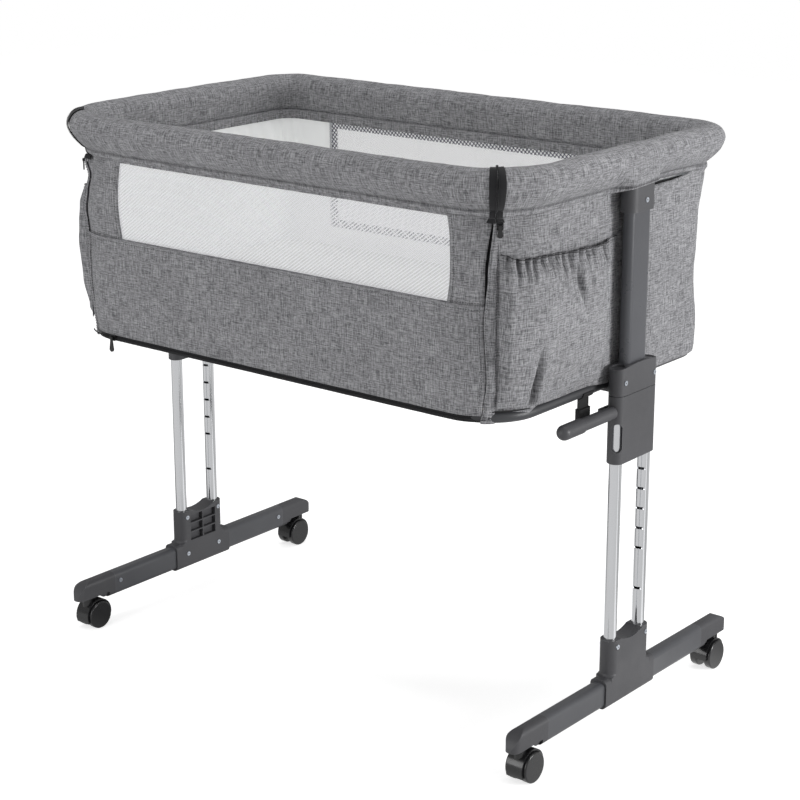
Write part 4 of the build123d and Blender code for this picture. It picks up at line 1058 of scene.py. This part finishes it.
# ---------------- corner flaps and zips
# A folded strip of grey cloth covers each corner zip below the rim.  The zip's black tape shows in the open
# slit beside it and runs up over the padding, half on the drop side and half on the rest of the cot.
tape_black = fabric("tape_black", (0.022, 0.022, 0.024), (0.012, 0.012, 0.013), 1000, 0.4)
flap_wide = 0.0035
flap_foot = roll_low


def flap_sheet(name, side):
    """Folded strip from the zip's slit to the pocket's seam."""
    heights = spread(flap_foot, hem - 0.001, 0.006)
    rows, across = [], []
    for t in spread(0.0, 1.0, 0.1):
        rolled = 0.0022 + 0.0014 * math.sin(math.pi * min(1.0, t * 1.15)) - 0.0012 * (t > 0.95)
        row, runs = [], []
        for height in heights:
            run = flap_edge(height) + (zip_run + flap_wide - flap_edge(height)) * t
            twill = 0.0006 * math.sin((height + run * 0.8) * 900) * math.sin(math.pi * t)
            rough = 0.0009 * rumple(run, height, 0.03, 7.2 + side)
            row.append(wall(side * run, height, rolled + twill + rough))
            runs.append(side * run)
        rows.append(row)
        across.append(runs)
    return lay(name, rows, across, [heights for row in rows], side=side)


def strip(name, side, first, last, low, high, offset):
    """Plain upright strip at a corner, between two distances and two heights."""
    runs = [side * run for run in spread(first, last, 0.003)][::side]
    return cloth(name, grid(runs, spread(low, high, 0.01)), lambda run, height: wall(run, height, offset))


for side_name, side in sides:
    flap = flap_sheet(f"corner_flap_{side_name}", side)
    hang(flap, "cot", *grey, 0.0016, "stretched", [f"end_cloth_{side_name}"])
    tape = strip(
        f"corner_tape_{side_name}", side, zip_run - 0.028, zip_run + 0.004, cloth_low, hem - 0.002, -0.0036
    )
    hang(tape, "cot", "zip_tape", tape_black, 0.0008, "stretched", [f"end_cloth_{side_name}"])

# Behind each post the end cloth stands a little below the rim, and a black strip fills the gap as painted shade.
for side_name, side in sides:
    gap_shade_strip = strip(
        f"end_gap_shade_{side_name}", side, post_run + 0.012, rear_turn + 0.01, hem - 0.016, hem - 0.002, -0.0030
    )
    hang(
        gap_shade_strip, "cot", "zip_tape", tape_black, 0.0008, "stretched",
        [f"end_cloth_{side_name}", "rim_padding_rear"],
    )

rim_tape_wide = 0.0088
wide_half = 0.014  # the left zip's front half lies open
tape_points = range(19)  # of the rim's profile, from its hem up over its top
tape_tail = ((0.0085, 0.50), (0.0060, 0.42), (0.0030, 0.18))


def rim_tape(name, first, last):
    """Tape laid over the padding between two distances, from its hem up to its top."""
    runs = spread(first, last, 0.0012)
    along = [-drop for drop, flare in tape_tail] + [rim_lengths[j] for j in tape_points]
    rows = []
    for run in runs:
        away = run - math.copysign(zip_run, run)
        tail = [wall(run + away * flare, hem - drop, 0.0046) for drop, flare in tape_tail]
        rows.append(tail + [rim_place(run, j, 0.0013 if run > 0 else 0.0019) for j in tape_points])
    return lay(name, rows, [[run for length in along] for run in runs], [along for run in runs])


for side_name, side in sides:
    for body, away in (("drop_side", -1), ("cot", 1)):
        near = side * (zip_run + away * 0.0006)
        far = side * (zip_run + away * (rim_tape_wide if side > 0 or away > 0 else wide_half))
        rim_strip = rim_tape(f"rim_tape_{side_name}_{body}", min(near, far), max(near, far))
        hang(
            rim_strip, body, "zip_tape", tape_black, 0.0009, "stretched",
            ["rim_padding_front" if body == "drop_side" else "rim_padding_rear"],
        )

# ---------------- bottom zip
# A long zip joins the drop side to the floor of the cot.  Its black tape runs just under the front cloth.
tape_low, tape_high = corners("bottom_zip_tape")


def bottom_place(run, height):
    """Place on the bottom zip's tape, which follows the front cloth's hem."""
    ripple = 0.0003 * rumple(run, height, 0.02, 1.1)
    return on_cloth(run, -cloth_inset - 0.0004 - corner_pull(run, height) + ripple, height)


bottom_cells = grid(spread(-zip_run, zip_run, 0.006), spread(tape_low.z, tape_high.z + 0.0008, 0.0016))
bottom_tape = cloth("bottom_tape", bottom_cells, bottom_place)
hang(bottom_tape, "drop_side", "zip_tape", tape_black, 0.0016, "stretched", ["lower_frame"], ["bottom_zip_tape"])
slider_black = moulded("slider_enamel", (0.016, 0.016, 0.017), 0.32, 1500, 0.2, 0.9, Metallic=0.6)
dress(slider_black, "bottom_zip_slider", "corner_sliders")
pull_black = moulded("pull_rubber", (0.014, 0.014, 0.015), 0.4, 1500, 0.3)
dress(pull_black, "bottom_zip_pull", *both("corner_pull"))

# ---------------- rivet hollows
# The rivets are tubular: their heads are rolled over a small hollow at the middle, drawn as a flat dark disc of
# painted shade.
hollow_wide = 0.0019
hollow_proud = 0.00015
hollow_corners = 16


def separate_solids(node_name):
    """Corners of the box round each separate solid of a CAD node."""
    copy = merged_copy("solids_guide", node_name)
    solids = bmesh.new()
    solids.from_mesh(copy.data)
    bpy.data.objects.remove(copy)
    waiting, boxes = set(solids.verts), []
    while waiting:
        reached, points = [waiting.pop()], []
        while reached:
            here = reached.pop()
            points.append(here.co.copy())
            for edge in here.link_edges:
                there = edge.other_vert(here)
                if there in waiting:
                    waiting.discard(there)
                    reached.append(there)
        boxes.append([Vector(pick(point[k] for point in points) for k in range(3)) for pick in (min, max)])
    solids.free()
    return sorted(boxes, key=lambda box: tuple(box[0]))


def hollows(name, node_name, body):
    """Dark disc of painted shade at the middle of every rivet head that looks along the cot, where its hollow lies.
    """
    points, faces = [], []
    for low, high in separate_solids(node_name):
        middle = (low + high) / 2
        for face_x, outward in ((high.x, 1), (low.x, -1)):
            faces.append(list(range(len(points), len(points) + hollow_corners)))
            centre = Vector((face_x + outward * hollow_proud, middle.y, middle.z))
            for k in range(hollow_corners):
                turn = outward * k * math.tau / hollow_corners
                points.append(centre + Vector((0, math.cos(turn), math.sin(turn))) * hollow_wide / 2)
    made = plain_mesh(name, points, faces)
    made.data.materials.append(hollow_shade)
    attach(made, body)


hollow_shade = moulded("hollow_shade", (0.03, 0.03, 0.032), 0.6, 1500, 0.2)
hollows("rivet_hollows", "cot_rivets", "cot")
for side_name, side in sides:
    hollows(f"screw_hollows_{side_name}", f"foot_screws_{side_name}", f"{side_name}_leg")


# ---------------- teeth and stitches
# Nylon coil teeth run down the middle of every zip.  Grey thread top-stitches the hems, the folded edges and the
# pockets, and black beads along each pocket's mouth are painted shade under its elastic.  Each is one small bead
# set out along its line at an even pitch.
def bead_tree():
    """Node tree that sets round beads along edges: pitch, length along the line, width across it."""
    tree = bpy.data.node_groups.new("beads_on_lines", "GeometryNodeTree")
    tree.interface.new_socket("Lines", in_out="INPUT", socket_type="NodeSocketGeometry")
    for label in ("Pitch", "Length", "Width"):
        tree.interface.new_socket(label, in_out="INPUT", socket_type="NodeSocketFloat")
    tree.interface.new_socket("Finish", in_out="INPUT", socket_type="NodeSocketMaterial")
    tree.interface.new_socket("Beads", in_out="OUTPUT", socket_type="NodeSocketGeometry")
    given = tree.nodes.new("NodeGroupInput")
    curve = node(tree, "GeometryNodeMeshToCurve", Mesh=given.outputs["Lines"])
    spots = node(
        tree, "GeometryNodeCurveToPoints", Curve=curve.outputs[0], Length=given.outputs["Pitch"],
        settings={"mode": "LENGTH"},
    )
    bead = node(tree, "GeometryNodeMeshUVSphere", Segments=6, Rings=4, Radius=0.5)
    size = node(tree, "ShaderNodeCombineXYZ", *(given.outputs[label] for label in ("Width", "Width", "Length")))
    set_out = node(
        tree, "GeometryNodeInstanceOnPoints", Points=spots.outputs["Points"], Instance=bead.outputs["Mesh"],
        Rotation=spots.outputs["Rotation"], Scale=size.outputs[0],
    )
    real = node(tree, "GeometryNodeRealizeInstances", Geometry=set_out.outputs[0])
    finished = node(tree, "GeometryNodeSetMaterial", Geometry=real.outputs[0], Material=given.outputs["Finish"])
    node(tree, "NodeGroupOutput", Beads=finished.outputs[0])
    return tree


beads_on_lines = bead_tree()


def bead_row(name, lines, body, material, pitch, length, width):
    """One plain mesh of beads set out along open lines of points."""
    points, edges = [], []
    for line in lines:
        edges += [(len(points) + i, len(points) + i + 1) for i in range(len(line) - 1)]
        points += line
    guide = plain_mesh(name + "_guide", points, [], edges)
    run_tree = guide.modifiers.new("beads", "NODES")
    run_tree.node_group = beads_on_lines
    wanted = {"Pitch": pitch, "Length": length, "Width": width, "Finish": material}
    for item in beads_on_lines.interface.items_tree:
        if item.in_out == "INPUT" and item.name in wanted:
            run_tree[item.identifier] = wanted[item.name]
    settled = guide.evaluated_get(bpy.context.evaluated_depsgraph_get())
    made = put(name, bpy.data.meshes.new_from_object(settled))
    bpy.data.objects.remove(guide)
    smooth(made)
    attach(made, body)


def thread(name, colour):
    """Twisted sewing thread."""
    material, tree, shader = new_material(name, colour, 0.7)
    twist = speckle(tree, own_place(tree), 700.0, 2.0)
    feed(shader, Base_Color=between(tree, twist, [c * 0.6 for c in colour], [min(1.0, c * 1.5) for c in colour]))
    return material


# Finish, pitch, length and width of each kind of bead.
stitch = (thread("thread_grey", (0.045, 0.045, 0.05)), 0.0038, 0.0027, 0.0007)
mouth_shade_beads = (thread("thread_black", (0.012, 0.012, 0.013)), 0.0016, 0.0016, 0.0012)
tooth = (thread("coil_black", (0.020, 0.020, 0.022)), 0.0014, 0.0009, 0.0021)

hem_point = 4  # of the rim's profile, 10 mm above its hem
sill_level = 0.655
on_sill = window_sill + 0.0025
front_runs = spread(-zip_run + 0.012, zip_run - 0.012, 0.008)
rear_stitch_runs = spread(zip_run + 0.012, 2 * half_line - zip_run - 0.012, 0.008)
front_lines = [
    [rim_place(run, hem_point, 0.0008) for run in front_runs],
    [apron_place(run, window_sill - 0.006, 0.0020) for run in front_runs[1:-1]],
]
for first, last in (
    (-front_edge(sill_level), window_low.x - 0.006), (window_high.x + 0.006, front_edge(sill_level)),
):
    front_lines.append([wall(run, on_sill, 0.0004) for run in spread(first, last, 0.006)])
for side in (-1, 1):
    heights = spread(window_sill + 0.001, window_head, 0.006)
    front_lines.append([wall(window_side(height, side) + side * 0.006, height, 0.0004) for height in heights])
    heights = spread(cloth_low + 0.004, window_sill - 0.004, 0.006)
    front_lines.append([apron_place(side * (front_edge(height) - 0.006), height, 0.0020) for height in heights])
bead_row("front_stitches", front_lines, "drop_side", *stitch)

cot_lines = [[rim_place(wrap(run), hem_point, 0.0008) for run in rear_stitch_runs]]
for side in (-1, 1):
    heights = spread(flap_foot + 0.006, hem - 0.004, 0.006)
    cot_lines.append([wall(side * (flap_edge(height) + 0.0028), height, 0.0042) for height in heights])
    cot_lines.append([wall(side * (zip_run + flap_wide - 0.001), height, 0.0034) for height in heights])
    cot_lines.append(pocket_line(0.975, pocket_first + 0.004, pocket_last - 0.004, side, 0.0005))
bead_row("cot_stitches", cot_lines, "cot", *stitch)
mouth_lines = [pocket_line(0.995, pocket_first + 0.002, pocket_last, side, 0.0004) for side in (1, -1)]
# The black line along each pocket's mouth is painted shade under its elastic.
bead_row("pocket_mouth_shade", mouth_lines, "cot", *mouth_shade_beads)

for body, away in (("drop_side", -1), ("cot", 1)):
    rim_runs = [side * (zip_run + away * 0.0007) for side in (-1, 1)]
    rim_lines = [[rim_place(run, j, 0.0026) for j in tape_points[1:]] for run in rim_runs]
    bead_row(f"rim_teeth_{body}", rim_lines, body, *tooth)
slit_heights = spread(cloth_low + 0.006, hem - 0.006, 0.008)
slit_lines = [
    [wall(side * (flap_edge(height) - 0.0024), height, -0.0030) for height in slit_heights] for side in (-1, 1)
]
bead_row("corner_teeth", slit_lines, "cot", *tooth)
tape_middle = (tape_low.z + tape_high.z) / 2
bottom_runs = spread(-zip_run + 0.004, zip_run - 0.004, 0.008)
bottom_lines = [[on_cloth(run, -cloth_inset + 0.0004, tape_middle) for run in bottom_runs]]
bead_row("bottom_teeth", bottom_lines, "drop_side", *tooth)
